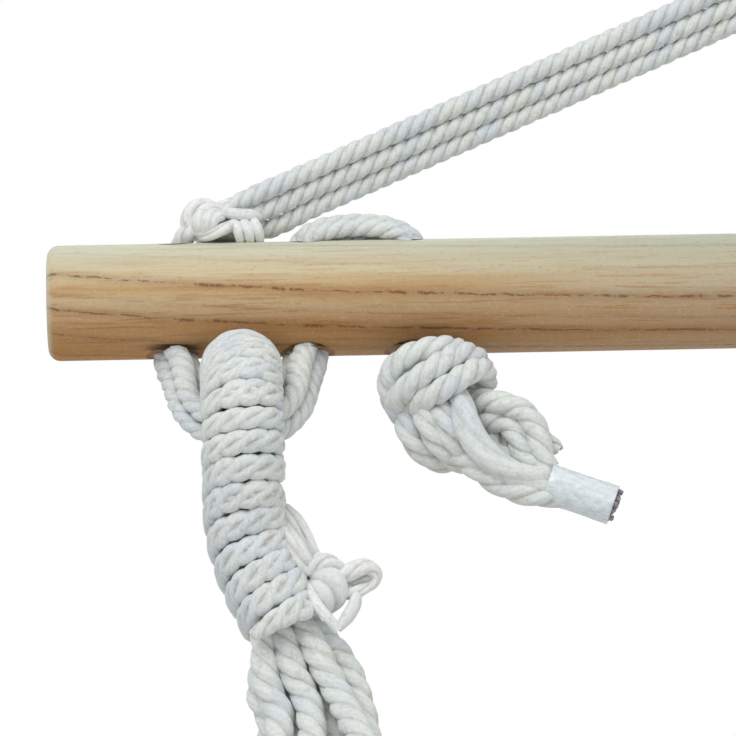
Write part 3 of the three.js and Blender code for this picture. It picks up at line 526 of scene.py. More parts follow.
# hanging ring
ring = {"holeRadius": 22, "wireRadius": 4, "around": 96, "wireSides": 24}
build = bmesh.new()
bmesh.ops.create_circle(build, segments=ring["wireSides"], radius=ring["wireRadius"] * mm)
bmesh.ops.translate(build, verts=build.verts, vec=(0, (ring["holeRadius"] + ring["wireRadius"]) * mm, 0))
bmesh.ops.spin(build, geom=build.verts[:] + build.edges[:], cent=(0, 0, 0), axis=(1, 0, 0), angle=2 * math.pi,
               steps=ring["around"], use_merge=True, use_duplicate=False)
bmesh.ops.remove_doubles(build, verts=build.verts, dist=1e-6)
bmesh.ops.recalc_face_normals(build, faces=build.faces)
bmesh.ops.translate(build, verts=build.verts, vec=(0, 0, -ring["holeRadius"] * mm))
ringMesh = bpy.data.meshes.new("hangingRing")
build.to_mesh(ringMesh)
build.free()
settled("hangingRing", ringMesh, steelFinish, "ring", ["hanging_ring"])
print("ring made")

# spreader bar
bar = {
    "length": 1000, "radius": 18, "rounding": 3.7, "drop": 252, "setBack": 13, "around": 96, "besideHole": 11.5,
    "holeRadius": 8, "holeChamfer": 2.5, "holes": [39, 80.5, 113], "overrun": 2, "broken": 0.9,
    "roundSteps": 6, "holeAround": 40, "sharpFrom": 35,
}
half = bar["length"] / 2
barAxis = np.array([0, bar["setBack"], -bar["drop"]], float)
build = bmesh.new()
bmesh.ops.create_cone(build, cap_ends=True, segments=bar["around"], radius1=bar["radius"] * mm,
                      radius2=bar["radius"] * mm,
                      depth=bar["length"] * mm, matrix=Matrix.Rotation(math.pi / 2, 4, "Y"))
rims = [edge for edge in build.edges if edge.verts[0].co.x * edge.verts[1].co.x > 0]
for side in (-1, 1):  # cuts beside the holes, so that the long faces between them stay whole
    for inset in bar["holes"]:
        for aside in (-bar["besideHole"], bar["besideHole"]):
            bmesh.ops.bisect_plane(build, geom=build.verts[:] + build.edges[:] + build.faces[:],
                                   plane_co=(side * (half - inset + aside) * mm, 0, 0), plane_no=(1, 0, 0))
bmesh.ops.bevel(build, geom=rims, offset=bar["rounding"] * mm, affect="EDGES", segments=bar["roundSteps"],
                profile=0.5, material=-1)
bmesh.ops.translate(build, verts=build.verts, vec=barAxis * mm)
barMesh = bpy.data.meshes.new("spreaderBar")
build.to_mesh(barMesh)
build.free()
drillBuild = bmesh.new()
neck = bar["radius"] - bar["holeChamfer"]
edge = bar["radius"] - bar["broken"]  # the holes' edges are barely broken
flareEnd = bar["radius"] + bar["overrun"]
wide = bar["holeRadius"] + flareEnd - edge
for side in (-1, 1):
    for inset in bar["holes"]:
        where = Matrix.Translation(Vector((side * (half - inset), bar["setBack"], -bar["drop"])) * mm)
        drill = bmesh.ops.create_circle(drillBuild, segments=bar["holeAround"], radius=wide * mm,
                                        cap_ends=True, matrix=where @ Matrix.Translation((0, 0, -flareEnd * mm)))
        face = list({f for v in drill["verts"] for f in v.link_faces})
        for lift, scale in ((flareEnd - edge, bar["holeRadius"] / wide), (2 * edge, 1),
                            (flareEnd - edge, wide / bar["holeRadius"])):
            raised = bmesh.ops.extrude_face_region(drillBuild, geom=face)["geom"]
            verts = [item for item in raised if isinstance(item, bmesh.types.BMVert)]
            face = [item for item in raised if isinstance(item, bmesh.types.BMFace)]
            bmesh.ops.translate(drillBuild, verts=verts, vec=(0, 0, lift * mm))
            centre = sum((v.co for v in verts), Vector()) / len(verts)
            bmesh.ops.scale(drillBuild, verts=verts, vec=(scale, scale, 1), space=Matrix.Translation(-centre))
bmesh.ops.recalc_face_normals(drillBuild, faces=drillBuild.faces)
drillMesh = bpy.data.meshes.new("drills")
drillBuild.to_mesh(drillMesh)
drillBuild.free()
drills = bpy.data.objects.new("drills", drillMesh)
scene.collection.objects.link(drills)
barPiece = settled("spreaderBar", barMesh, woodFinish, "hanger", ["spreader_bar"])
cut = barPiece.modifiers.new("holes", "BOOLEAN")
cut.object = drills
cut.operation = "DIFFERENCE"
cut.solver = "EXACT"
bpy.context.view_layer.update()
drilled = bpy.data.meshes.new_from_object(barPiece.evaluated_get(bpy.context.evaluated_depsgraph_get()))
barPiece.modifiers.clear()
barPiece.data = drilled
drilled.materials.clear()
drilled.materials.append(woodFinish)
drilled.set_sharp_from_angle(angle=math.radians(bar["sharpFrom"]))
bpy.data.objects.remove(drills)
print("bar made", len(drilled.polygons))

# suspension cords, from knot to knot over the ring
cords = {
    "diameter": 5.2, "gap": 0.3, "pitch": 14.7, "rowShares": [-1, 0, 1], "rowAngles": [55, 62, 40, 0], "lift": 3,
    "knotInset": 50.5, "knotRadius": 6.4, "collar": 8, "run": 24, "full": 1.24, "slimTo": [20, 80], "intoKnot": 13,
    "leadShare": 0.4, "bendSteps": 4, "phases": [0.4, 2.1, 1.2], "plump": 1.22,
}
cordRadius = cords["diameter"] / 2
cordPitch = cords["diameter"] + cords["gap"]
topKnotHeight = bar["radius"] + cords["gap"] + cords["knotRadius"]
ringBend = ring["wireRadius"] + cords["gap"] + cordRadius
cordsFoot = np.array([half - cords["knotInset"] - cords["knotRadius"] - cords["collar"], 0,
                      topKnotHeight + cords["lift"]]) + barAxis
cordsRise = math.atan2(-2 * ring["holeRadius"] - cordsFoot[2], cordsFoot[0])


def rowTurn(share):  # smooth change of the row's angle from the knot to the ring
    knots = np.radians(cords["rowAngles"])
    at = share * (len(knots) - 1)
    i = min(int(at), len(knots) - 2)
    t = at - i
    p = [knots[max(i - 1, 0)], knots[i], knots[i + 1], knots[min(i + 2, len(knots) - 1)]]
    v0, v1 = (p[2] - p[0]) / 2, (p[3] - p[1]) / 2
    return (2 * p[1] - 2 * p[2] + v0 + v1) * t ** 3 + (-3 * p[1] + 3 * p[2] - 2 * v0 - v1) * t ** 2 + v0 * t + p[1]


def suspensionRoute(rowShare):
    shift = rowShare * (cordPitch + cords["gap"])
    around = shift / (ring["holeRadius"] - cords["gap"] - cordRadius)
    outward = np.array([0, math.sin(around), -math.cos(around)])
    wire = np.array([0, 0, -ring["holeRadius"]]) + outward * (ring["holeRadius"] + ring["wireRadius"])

    def bendPoint(angle):
        return wire - outward * ringBend * math.cos(angle) + np.array([ringBend * math.sin(angle), 0, 0])

    upright = np.array([math.sin(cordsRise), 0, math.cos(cordsRise)])
    middleTop = np.array([ringBend * math.sin(cordsRise), 0,
                          -2 * ring["holeRadius"] + ringBend * math.cos(cordsRise) - ring["wireRadius"]])
    ringPull = bendPoint(cordsRise) - middleTop - np.array([0, shift, 0])
    points = []
    for step in range(cords["run"]):
        share = step / cords["run"]
        angle = rowTurn(share)
        points.append(cordsFoot + (middleTop - cordsFoot) * share - upright * shift * math.sin(angle)
                      + ringPull * share + np.array([0, shift * math.cos(angle), 0]))
    for step in range(cords["bendSteps"] + 1):
        points.append(bendPoint(cordsRise * (1 - step / cords["bendSteps"])))
    lead = cordsFoot + (points[0] - cordsFoot) * cords["leadShare"] + np.array([cords["intoKnot"], 0, -cords["lift"]])
    points = [lead] + points
    return np.array(points + [point * [-1, 1, 1] for point in points[-2::-1]])


for share, name, phase in zip(cords["rowShares"], ("front", "middle", "back"), cords["phases"]):
    points = smoothed(suspensionRoute(share), cords["pitch"] / ropeLook["stepsInLay"])
    radii = cordRadius * np.interp(np.abs(points[:, 0]), cords["slimTo"], [1, cords["full"]])
    rope = {"points": points, "radius": radii, "pitch": cords["pitch"], "phase": phase, "plump": cords["plump"]}
    mesh = ropeMesh("suspensionCord_" + name, [rope])
    settled("suspensionCord_" + name, mesh, cottonRope, "hanger", ["suspension_cord_" + name])
print("suspension cords made")

# lashing and whipping
lashing = {
    "leanAngle": 22, "runningGap": 0.3, "eyeToBar": 1.2, "pitch": 14.7, "humpSquareness": 0.48, "full": 1.08,
    "armSwell": 0.22, "armPlump": 0.45, "armDepth": 24, "armReach": 13, "armPull": 0.1, "pullDepths": (14, 28),
    "humpSwell": 0.1, "humpDrop": 2.2, "humpFrom": 8, "swellOver": 8, "dropOver": 14, "loopSteps": 20,
    "humpSteps": 16,
    "spacing": 1.2, "smoothings": 3, "phase": 1.3, "plump": 1.34,
}
winding = {
    "coreRadius": 6.6, "coreGap": 1.3, "thickness": 5, "gap": -0.85, "eyePitch": 5.15, "throatPitch": 7.6,
    "first": -6.75, "join": 8, "last": 13.75, "tuckTo": 14.13, "tuckLift": [0, 0.8, -3],
    "tuckWidth": [1, 1.16, 0.5], "steps": 60, "squareness": 0.7, "easing": 0.8, "joinHalf": 0.25, "lay": 18,
    "tuckFrom": 0.18, "plump": 1.42, "phase": 0.5,
    "throatDepth": 40, "throatOffset": 5.5, "bendStart": 22, "bendRadius": 60, "lean": 26,
}
bundleOffset = cordPitch / math.sqrt(3)
bundleRadius = bundleOffset + cordRadius
wrapRadius = winding["coreRadius"] + winding["coreGap"] + winding["thickness"] / 2
wrapOuter = wrapRadius + winding["thickness"] / 2
eyeRadius = bundleRadius + lashing["runningGap"] + wrapOuter
pivotReach = bar["radius"] + lashing["eyeToBar"] + eyeRadius + wrapOuter
lean = math.radians(lashing["leanAngle"])
pivot = barAxis + np.array([0, -pivotReach * math.sin(lean), -pivotReach * math.cos(lean)])
eyeInset = (bar["holes"][0] + bar["holes"][1]) / 2
eyeAt = np.array([half - eyeInset, pivot[1], pivot[2]])


def lashingRoute():
    outer, inner, last = bar["holes"]
    mouth = np.array([0, 0, -neck])
    down = pivot - barAxis - mouth
    depth = np.linalg.norm(down)
    down = down / depth
    lead = down[1] * bar["holeChamfer"] / 2
    points = [(half - outer, 0, neck), (half - outer, 0, 0), (half - outer, 0, -neck + bar["holeChamfer"]),
              (half - outer, lead, -bar["radius"] - cordRadius / 2)]
    for step in range(lashing["loopSteps"] + 1):
        angle = math.pi * step / lashing["loopSteps"]
        along = depth - eyeRadius * (1 - math.sin(angle))
        points.append((half - eyeInset + eyeRadius * math.cos(angle), down[1] * along, mouth[2] + down[2] * along))
    points += [(half - inner, lead, -bar["radius"] - cordRadius / 2), (half - inner, 0, -neck + bar["holeChamfer"]),
               (half - inner, 0, 0)]
    foot = neck - bar["holeChamfer"]
    rise = bar["radius"] + cords["gap"] + bundleRadius - foot
    span = (last - inner) / 2
    for step in range(lashing["humpSteps"] + 1):
        angle = math.pi * step / lashing["humpSteps"]
        points.append((half - inner - span * (1 - math.cos(angle)), 0,
                       foot + rise * max(math.sin(angle), 0) ** lashing["humpSquareness"]))
    points += [(half - last, 0, 0), (half - last, 0, -neck)]
    return np.array(points, float)


for sideName, side in bothEnds:
    route = evenly(lashingRoute(), lashing["spacing"])
    smooth = route.copy()
    for _ in range(lashing["smoothings"]):
        smooth[1:-1] = (smooth[:-2] + 2 * smooth[1:-1] + smooth[2:]) / 4
    normals, binormals = framesAlong(smooth, (0, -1, 0))[1:]
    swell = 1 + lashing["armSwell"] * np.exp(-((smooth[:, 2] + lashing["armDepth"]) / lashing["armReach"]) ** 2)
    swell = swell + lashing["humpSwell"] * np.clip((smooth[:, 2] - lashing["humpFrom"]) / lashing["swellOver"], 0, 1)
    smooth[:, 2] -= lashing["humpDrop"] * np.clip((smooth[:, 2] - lashing["humpFrom"]) / lashing["dropOver"], 0, 1)
    pull = eased(-smooth[:, 2], *lashing["pullDepths"])
    smooth[:, 0] -= (smooth[:, 0] - half + eyeInset) * lashing["armPull"] * pull
    for index in range(3):
        turn = 2 * math.pi * index / 3
        offset = normals * bundleOffset * math.cos(turn) + binormals * bundleOffset * math.sin(turn)
        points = smoothed(mirrored(smooth + offset * swell[:, None], side) + barAxis,
                          lashing["pitch"] / ropeLook["stepsInLay"])
        local = (points - barAxis)[:, 2]
        radii = 1 + lashing["armPlump"] * np.exp(-((local + lashing["armDepth"]) / lashing["armReach"]) ** 2)
        hump = np.clip((local - lashing["humpFrom"]) / lashing["swellOver"], 0, 1)
        radii = cordRadius * lashing["full"] * (radii + lashing["humpSwell"] * hump)
        name = f"{sideName}LashingCord_{index + 1}"
        mesh = ropeMesh(name, [{"points": points, "radius": radii, "pitch": lashing["pitch"],
                                "phase": lashing["phase"] * index, "plump": lashing["plump"]}])
        settled(name, mesh, cottonRope, "hanger", [f"{sideName}_lashing_cord_{index + 1}"])
print("lashings made")


def legOffset(down):  # how far each leg of the throat lies from its middle
    share = np.clip(down / winding["throatDepth"], 0, 1)
    return winding["throatOffset"] + (eyeRadius - winding["throatOffset"]) * (1 - share) ** 2 * (1 + 2 * share)


def legReach(down):
    share = np.clip(down / winding["throatDepth"], 0, 1)
    slope = 6 * (eyeRadius - winding["throatOffset"]) * share * (1 - share) / winding["throatDepth"]
    return wrapRadius * np.hypot(1, slope)


def bendThroat(points):  # the throat bends towards the chair's middle
    points = np.array(points, float)
    past = np.maximum(-points[:, 2] - winding["bendStart"], 0)
    turn = np.minimum(past / winding["bendRadius"], math.radians(winding["lean"]))
    beyond = past - winding["bendRadius"] * turn
    radius = winding["bendRadius"] + points[:, 0]
    bent = points.copy()
    bent[:, 0] = radius * np.cos(turn) - winding["bendRadius"] - beyond * np.sin(turn)
    low = -winding["bendStart"] - radius * np.sin(turn) - beyond * np.cos(turn)
    bent[:, 2] = np.where(past > 0, low, points[:, 2])
    return bent


eyeQuarter = math.pi / 2 * eyeRadius
eyeQuarterTurns = eyeQuarter / winding["eyePitch"]


def wrapAlong(turn):
    late = math.log(1 + math.exp((abs(turn) - eyeQuarterTurns) / winding["easing"])) * winding["easing"]
    return winding["eyePitch"] * abs(turn) + (winding["throatPitch"] - winding["eyePitch"]) * late


def wrapPlace(turn, phase, joining):
    down = wrapAlong(turn) - eyeQuarter
    front = 1 if turn >= 0 else -1
    if down <= 0:
        angle = front * (down + eyeQuarter) / eyeRadius
        reach = eyeRadius + wrapRadius * math.cos(phase)
        return np.array([wrapRadius * math.sin(phase), -reach * math.sin(angle), reach * math.cos(angle)])
    power = 1 + (winding["squareness"] - 1) * joining
    squared = lambda value: math.copysign(abs(value) ** power, value)
    far = legOffset(down) + legReach(down)
    near = (legOffset(down) - legReach(down)) * (1 - joining) - far * joining
    reach = (far + near) / 2 + (far - near) / 2 * squared(math.cos(phase))
    return np.array([wrapRadius * squared(math.sin(phase)), -front * reach, -down])


def joiningAt(turn):  # 0 while the rope winds round one leg, 1 from where it winds round both
    return eased(turn, winding["join"] - winding["joinHalf"], winding["join"] + winding["joinHalf"])


def wrapStation(turn):
    nudge = 0.01
    ropeAt = lambda value: wrapPlace(value, 2 * math.pi * value, joiningAt(value))
    columnAt = lambda value: wrapPlace(value, 2 * math.pi * turn, joiningAt(turn))
    advanceAt = lambda value: (columnAt(value + nudge) - columnAt(value - nudge)) / (2 * nudge)
    tangent = unit(ropeAt(turn + nudge) - ropeAt(turn - nudge))
    pitch = min(np.linalg.norm(advanceAt(turn + value)) for value in (-0.5, 0, 0.5))
    across = advanceAt(turn)
    across = unit(across - tangent * across.dot(tangent))
    return ropeAt(turn), across, np.cross(tangent, across), pitch - winding["gap"]


turns = np.linspace(winding["first"], winding["tuckTo"],
                    int((winding["tuckTo"] - winding["first"]) * winding["steps"]) + 1)
stations = [wrapStation(turn) for turn in turns]
wrapMiddle = np.array([s[0] for s in stations])
wrapAcross = np.array([s[1] for s in stations])
wrapOutward = np.array([s[2] for s in stations])
tuckTurns = [winding["last"], winding["last"] + winding["tuckFrom"], winding["tuckTo"]]
wrapMiddle = wrapMiddle + wrapOutward * np.interp(turns, tuckTurns, winding["tuckLift"])[:, None]
wrapWidth = np.array([s[3] for s in stations]) * np.interp(turns, tuckTurns, winding["tuckWidth"])
bentMiddle = bendThroat(wrapMiddle)
bentAcross = unit(bendThroat(wrapMiddle + wrapAcross * 0.1) - bentMiddle)
bentOutward = unit(bendThroat(wrapMiddle + wrapOutward * 0.1) - bentMiddle)
for sideName, side in bothEnds:
    rope = {
        "points": mirrored(bentMiddle, side) + mirrored(eyeAt, side),
        "frames": (mirrored(bentAcross, side), mirrored(bentOutward, side) * side),
        "halfN": wrapWidth / 2, "halfB": winding["thickness"] / 2, "pitch": winding["lay"],
        "plump": winding["plump"], "phase": winding["phase"],
    }
    name = sideName + "EyeWhipping"
    settled(name, ropeMesh(name, [rope]), cottonRope, "seat", [sideName + "_eye_whipping"])
print("whippings made")

# seat cords: five ropes lie over the eye, and their ten ends go down to the hem
seatCords = {
    "diameter": 7.5, "rows": [3, 4, 3], "rowPitch": 7.6, "rowTilt": 0.6, "gap": 0.3, "apart": 1.5, "outward": 3.5,
    "frontOutward": 2, "lay": 21, "straight": 5, "flareGap": 0.6, "flareLength": 16, "eyeCord": 2.8,
    "eyeOrder": [-2, 0, 2, -1, 1], "eyeSpread": 2.2, "full": 1.25, "bow": 4.4, "loopStart": 25, "loopTurn": 300,
    "loopSteps": 12, "loopSlide": 9, "loopThin": 0.72,
    "slideBack": 0.3, "loopTight": 0.75, "loopTaper": [45, 70], "eyeTaper": [8, 24], "eyeSteps": 12, "tuck": 2,
    "legDowns": [6, 14, 22, 30, 38], "legEnd": 8, "legStagger": 0.4, "spreadFrom": 50, "phase": 0.9, "plump": 1.26,
}
hemOf = {"radius": 6, "halfSpan": 430, "drawIn": 150, "halfDepth": 260, "drop": 580, "rise": 100, "steps": 120}
seatRadius = seatCords["diameter"] / 2
seatPitch = seatCords["diameter"] + seatCords["apart"]
whippingEnd = wrapAlong(winding["last"]) - eyeQuarter + winding["throatPitch"] / 2
seatFlareEnd = whippingEnd + seatCords["flareGap"] + seatCords["flareLength"]


def hemPoint(along):
    return np.array([hemOf["halfSpan"] - hemOf["drawIn"] * along ** 2, pivot[1] + hemOf["halfDepth"] * along,
                     -bar["drop"] - hemOf["drop"] + hemOf["rise"] * along ** 2])


starts = []
for row, count in enumerate(seatCords["rows"]):
    for place in range(count):
        step = place - (count - 1) / 2
        aside = -step if row == 2 else step
        tilt = step * seatCords["rowTilt"] if row == 1 else 0
        outward = seatCords["outward"] + (seatCords["frontOutward"] if row == 0 else 0)
        starts.append(np.array([aside * seatPitch + outward, (row - 1) * seatCords["rowPitch"] + tilt,
                                -seatFlareEnd - seatCords["gap"]]))


def downToHem(start, index):  # a cord from the flare to its loop round the hem
    top, knee = bendThroat([start, start + [0, 0, -seatCords["straight"]]]) + eyeAt
    place = (2 * index + 1) / len(starts) - 1
    hemLine = unit(hemPoint(place + 0.001) - hemPoint(place - 0.001))
    foot = hemPoint(place)
    line = unit(foot - knee)
    slant = math.asin(abs(line.dot(hemLine)))
    tip = foot - line * (hemOf["radius"] + seatCords["gap"] + seatRadius * math.sin(slant)) / math.cos(slant)
    toCord = unit(-line + hemLine * line.dot(hemLine))
    outer = np.cross(hemLine, toCord)
    outer = outer * np.sign(outer[0])
    loopRadius = hemOf["radius"] + seatRadius * seatCords["loopTight"]
    bow = np.array([seatCords["bow"] * (start[0] - seatCords["outward"] / 2) / seatPitch, 0, 0])
    route = [top, top * 0.4 + knee * 0.6, knee * 0.94 + tip * 0.06 + bow, knee * 0.75 + tip * 0.25 + bow * 0.6,
             knee * 0.5 + tip * 0.5, knee * 0.2 + tip * 0.8,
             knee * 0.06 + tip * 0.94]
    for step in range(seatCords["loopSteps"] + 1):
        turn = math.radians(seatCords["loopStart"] + step * seatCords["loopTurn"] / seatCords["loopSteps"])
        slide = hemLine * seatCords["loopSlide"] * (step / seatCords["loopSteps"] - seatCords["slideBack"])
        route.append(foot + (toCord * math.cos(turn) + outer * math.sin(turn)) * loopRadius + slide)
    return np.array(route)


def downLeg(end, k, front):  # one leg of a rope, from beside the arch to the flare
    rows = []
    for down in seatCords["legDowns"] + [whippingEnd - seatCords["legEnd"], whippingEnd]:
        share = eased(down, seatCords["spreadFrom"], seatFlareEnd)
        aside = share * end[0] + (1 - share) * seatCords["eyeOrder"][k] * seatCords["eyeSpread"]
        rows.append([aside,
                     front * (legOffset(down) + seatCords["legStagger"] * (k % 2)) * (1 - share) + share * end[1],
                     -down])
    return np.array(rows, float)


for sideName, side in bothEnds:
    eyePieces = []
    for k in range(len(starts) // 2):
        frontIndex, backIndex = k, len(starts) - 1 - k
        arch = [np.array([seatCords["eyeOrder"][k] * seatCords["eyeSpread"], -eyeRadius * math.cos(a),
                          eyeRadius * math.sin(a)])
                for a in np.linspace(0, math.pi, seatCords["eyeSteps"] + 1)]
        eyePart = np.vstack([downLeg(starts[frontIndex], k, -1)[::-1], arch, downLeg(starts[backIndex], k, 1)])
        route = np.vstack([downToHem(starts[frontIndex], frontIndex)[::-1], bendThroat(eyePart) + eyeAt,
                           downToHem(starts[backIndex], backIndex)])
        points = smoothed(mirrored(route, side), seatCords["lay"] / ropeLook["stepsInLay"])
        frontTop, backTop = mirrored(bendThroat([starts[frontIndex], starts[backIndex]]) + eyeAt, side)
        middle = len(points) // 2
        cutFront = int(np.argmin(np.linalg.norm(points[:middle] - frontTop, axis=1)))
        cutBack = middle + int(np.argmin(np.linalg.norm(points[middle:] - backTop, axis=1)))
        reach = reachAlong(points)
        fromEnd = np.minimum(reach, reach[-1] - reach)
        fromCut = np.maximum(np.minimum(reach - reach[cutFront], reach[cutBack] - reach), 0)  # 0 outside the eye
        radii = seatRadius * seatCords["full"] * np.interp(fromEnd, seatCords["loopTaper"],
                                                           [seatCords["loopThin"], 1])
        radii = radii * np.interp(fromCut, seatCords["eyeTaper"], [1, seatCords["eyeCord"] / seatRadius])
        rope = {"points": points, "radius": radii, "pitch": seatCords["lay"], "phase": seatCords["phase"] * k,
                "plump": seatCords["plump"]}
        for index, first, last in ((frontIndex, 0, cutFront), (backIndex, cutBack, len(points) - 1)):
            name = f"{sideName}SeatCord_{index + 1}"
            settled(name, ropeMesh(name, [{**rope, "keep": (first, last)}]), cottonRope, "seat",
                    [f"{sideName}_seat_cord_{index + 1}"])
        eyePieces.append({**rope, "keep": (cutFront - seatCords["tuck"], cutBack + seatCords["tuck"]),
                          "tuck": seatCords["tuck"]})
    name = sideName + "SeatEye"
    settled(name, ropeMesh(name, eyePieces), cottonRope, "seat", [sideName + "_seat_eye"])
print("seat cords made")


# knots at the bar: routes as (in from the bar's end, back, up) about the bar's axis
def atBar(rows, side):
    rows = np.array(rows, float)
    return np.column_stack([side * (half - rows[:, 0]), rows[:, 1], rows[:, 2]]) + barAxis


def knotRun(rows, side, radius, strands=3, pitch=15.0, phase=0.0, plump=1.14, ends=None):
    points = smoothed(atBar(rows, side), 0.8)
    run = {"points": points, "radius": radius, "pitch": pitch, "strands": strands, "phase": phase, "plump": plump}
    if ends is not None:  # thickness along the run, as shares of its radius
        reach = reachAlong(points)
        shares = np.interp(reach / reach[-1], np.linspace(0, 1, len(ends)), ends)
        run["radius"] = radius * shares
    return run


topKnot = {
    "bulb": [[(46.9, -2, 19.6), (44.7, -3.5, 22.7), (44.4, -4, 26.1), (46, -4, 28.6), (48.9, -3.5, 29.6),
              (51.9, -4, 28.4), (53.8, -4.5, 26)],
             [(47.8, -5, 20.6), (47.5, -7.5, 23.2), (48.8, -8, 25.8), (51, -7.5, 27), (53.2, -5.5, 26.6)],
             [(49.7, -6.5, 20.8), (50.3, -8.6, 22.7), (51.8, -8.5, 24.7), (54, -6, 25)]],
    "core": [(46.8, 0, 24), (49.1, 0, 24.6), (52.2, 0, 24.6), (56, 0, 24.2), (60.3, 0, 23.5), (64, 0, 23)],
    "lower": [(45.6, -3, 21.8), (48.7, -6, 19.8), (51.8, -7.5, 19.6), (55, -8, 20.7), (57.5, -7, 22.4),
              (59.4, -4, 24.5)],
    "across": [(54.5, -3, 28.2), (56.6, -6.5, 26.4), (60.3, -7.5, 25.7), (63.8, -6.5, 25.7), (66.4, -3.5, 25.8)],
    "above": [(50.4, -2, 27.6), (54.2, -3, 29), (58.3, -3, 29.8), (62.6, -1.5, 30.4), (66.1, 0, 30)],
    "lobes": [[(57.5, -4, 24.9), (58.7, -6.6, 22.8), (59.6, -7.4, 20.3), (60.2, -6, 18.4), (60.5, -3, 17.6)],
              [(60.6, -4, 25.1), (61.8, -7, 22.6), (63, -7.8, 20.1), (63.3, -6.2, 18.3), (63.6, -3, 17.6)],
              [(63.5, -3.5, 25.2), (65, -6.8, 22.6), (66, -7.2, 20.2), (66.3, -5.5, 18.4), (66.1, -2.5, 17.7)]],
    "tail": [(48.1, -3, 22.4), (45.6, -3.5, 21.7), (43.1, -3, 20.2), (41.3, -1, 17.6), (40.2, 0, 12)],
    "behind": [(66, 2, 27), (62, 6.5, 26), (58, 7, 23), (60, 6, 19), (64, 3, 17.6)],
    "softBack": [(51, 3, 27), (49, 6, 24), (50, 6, 20), (54, 5, 18.5), (60, 4, 18.4)],
}
stopper = {
    "radius": 3.4, "lay": 18,
    "front": [[(108.8, -6, -37.8), (105.7, -14, -35.4), (105.1, -17, -30.2), (109.3, -20, -25.4), (115.1, -21, -23),
               (120.2, -20, -21.7), (124.6, -17, -21.3), (128.3, -9, -21.5), (130.5, -2, -23.6)],
              [(109.7, -8, -40.9), (107, -14, -38.3), (109, -20, -35.7), (114.2, -23.5, -32.2), (120.3, -24, -28.2),
               (125.8, -22, -24.6), (130.8, -18, -24), (133.9, -12, -26.3), (134.5, -6, -28.7)],
              [(111.7, -10, -40.3), (114.1, -19, -38.8), (117.6, -23, -37.7), (123.5, -25, -34.9),
               (128.4, -24, -31.5),
               (132.5, -20, -28.8), (134.9, -14, -29.5), (134.9, -8, -31.3)]],
    "low": [[(112.8, -8, -35.2), (110.1, -13, -41.5), (111, -14, -48), (114.3, -13, -52.4), (119.9, -9, -55),
             (124.5, -4, -53)],
            [(115.3, -14, -37.4), (115.5, -18.5, -43), (118, -19, -49.4), (121.8, -17, -53.8), (126.3, -12, -56),
             (129.9, -6, -54)],
            [(120.1, -17, -38.2), (121.1, -21, -43.7), (122.8, -21.5, -49), (125.3, -19, -53.5),
             (127.9, -14, -55.1)]],
    "bright": [(125.8, -19, -37.4), (127.1, -23, -42.1), (128.5, -25, -47.7), (130.7, -25.5, -53.5),
               (134.4, -25, -58.2), (139.8, -24, -61.7), (145.8, -22.5, -63.7), (151.8, -21, -65.1),
               (165.9, -20.5, -69.2)],
    "tails": [[(126.1, -17, -55.2), (130.3, -19, -59.2), (135.5, -20.5, -63.8), (141.4, -21, -67.2),
               (147.3, -21, -68.9), (152.8, -20, -69.4), (165.9, -19, -71.7)],
              [(128.1, -12, -52.4), (133.3, -14, -56.4), (140.2, -16, -60.4), (147.7, -17, -63.5),
               (153.2, -17, -64.8), (166.1, -17, -69)]],
    "right": [[(129.6, -12, -37.7), (134.3, -17, -38.2), (139.1, -20, -39.9), (144.4, -21, -42), (148.4, -21, -46),
               (150.4, -20.5, -51.5), (151.1, -20, -56.5), (153.1, -19, -61.9)],
              [(131.2, -10, -41.8), (135.3, -15, -44), (140.7, -17.5, -45.5), (143.8, -18, -49.7),
               (145, -18, -54.2), (147.9, -18, -58.2), (152.6, -18, -62.2)]],
    "core": [(112, -5, -27), (117, -7, -34), (123, -8, -40), (130, -8, -44), (136, -10, -48)],
    "stub": [(151, -15, -48.8), (154, -16, -51.4), (156.2, -15.5, -54)],
    "back": [(113, 0, -12), (113, 0, -22), (115, 1.5, -30), (116, 0, -39), (117, -3, -46), (121, -7, -50),
             (127, -6, -51), (133, -6, -47),
             (138, -9, -42), (140, -12, -46), (138, -12, -53), (142, -14, -58)],
    "backLoop": [(118, -3, -24), (126, 3, -25), (132, 3, -31), (133, 0, -39), (128, 1, -47), (120, 1, -51)],
    "tapeStart": (152.6, -19, -64.7), "tapeEnd": (172.4, -19, -72.1), "tapeRadius": 6.35, "tapeWall": 0.45,
}
frayed = cottonFinish("frayedCotton",
                      {"Pale": "bfb9c1", "Groove": "857c87", "Tint": "aca6b0", "Yarns": 5, "Fuzz": 1.2, "Bump": 0.8})
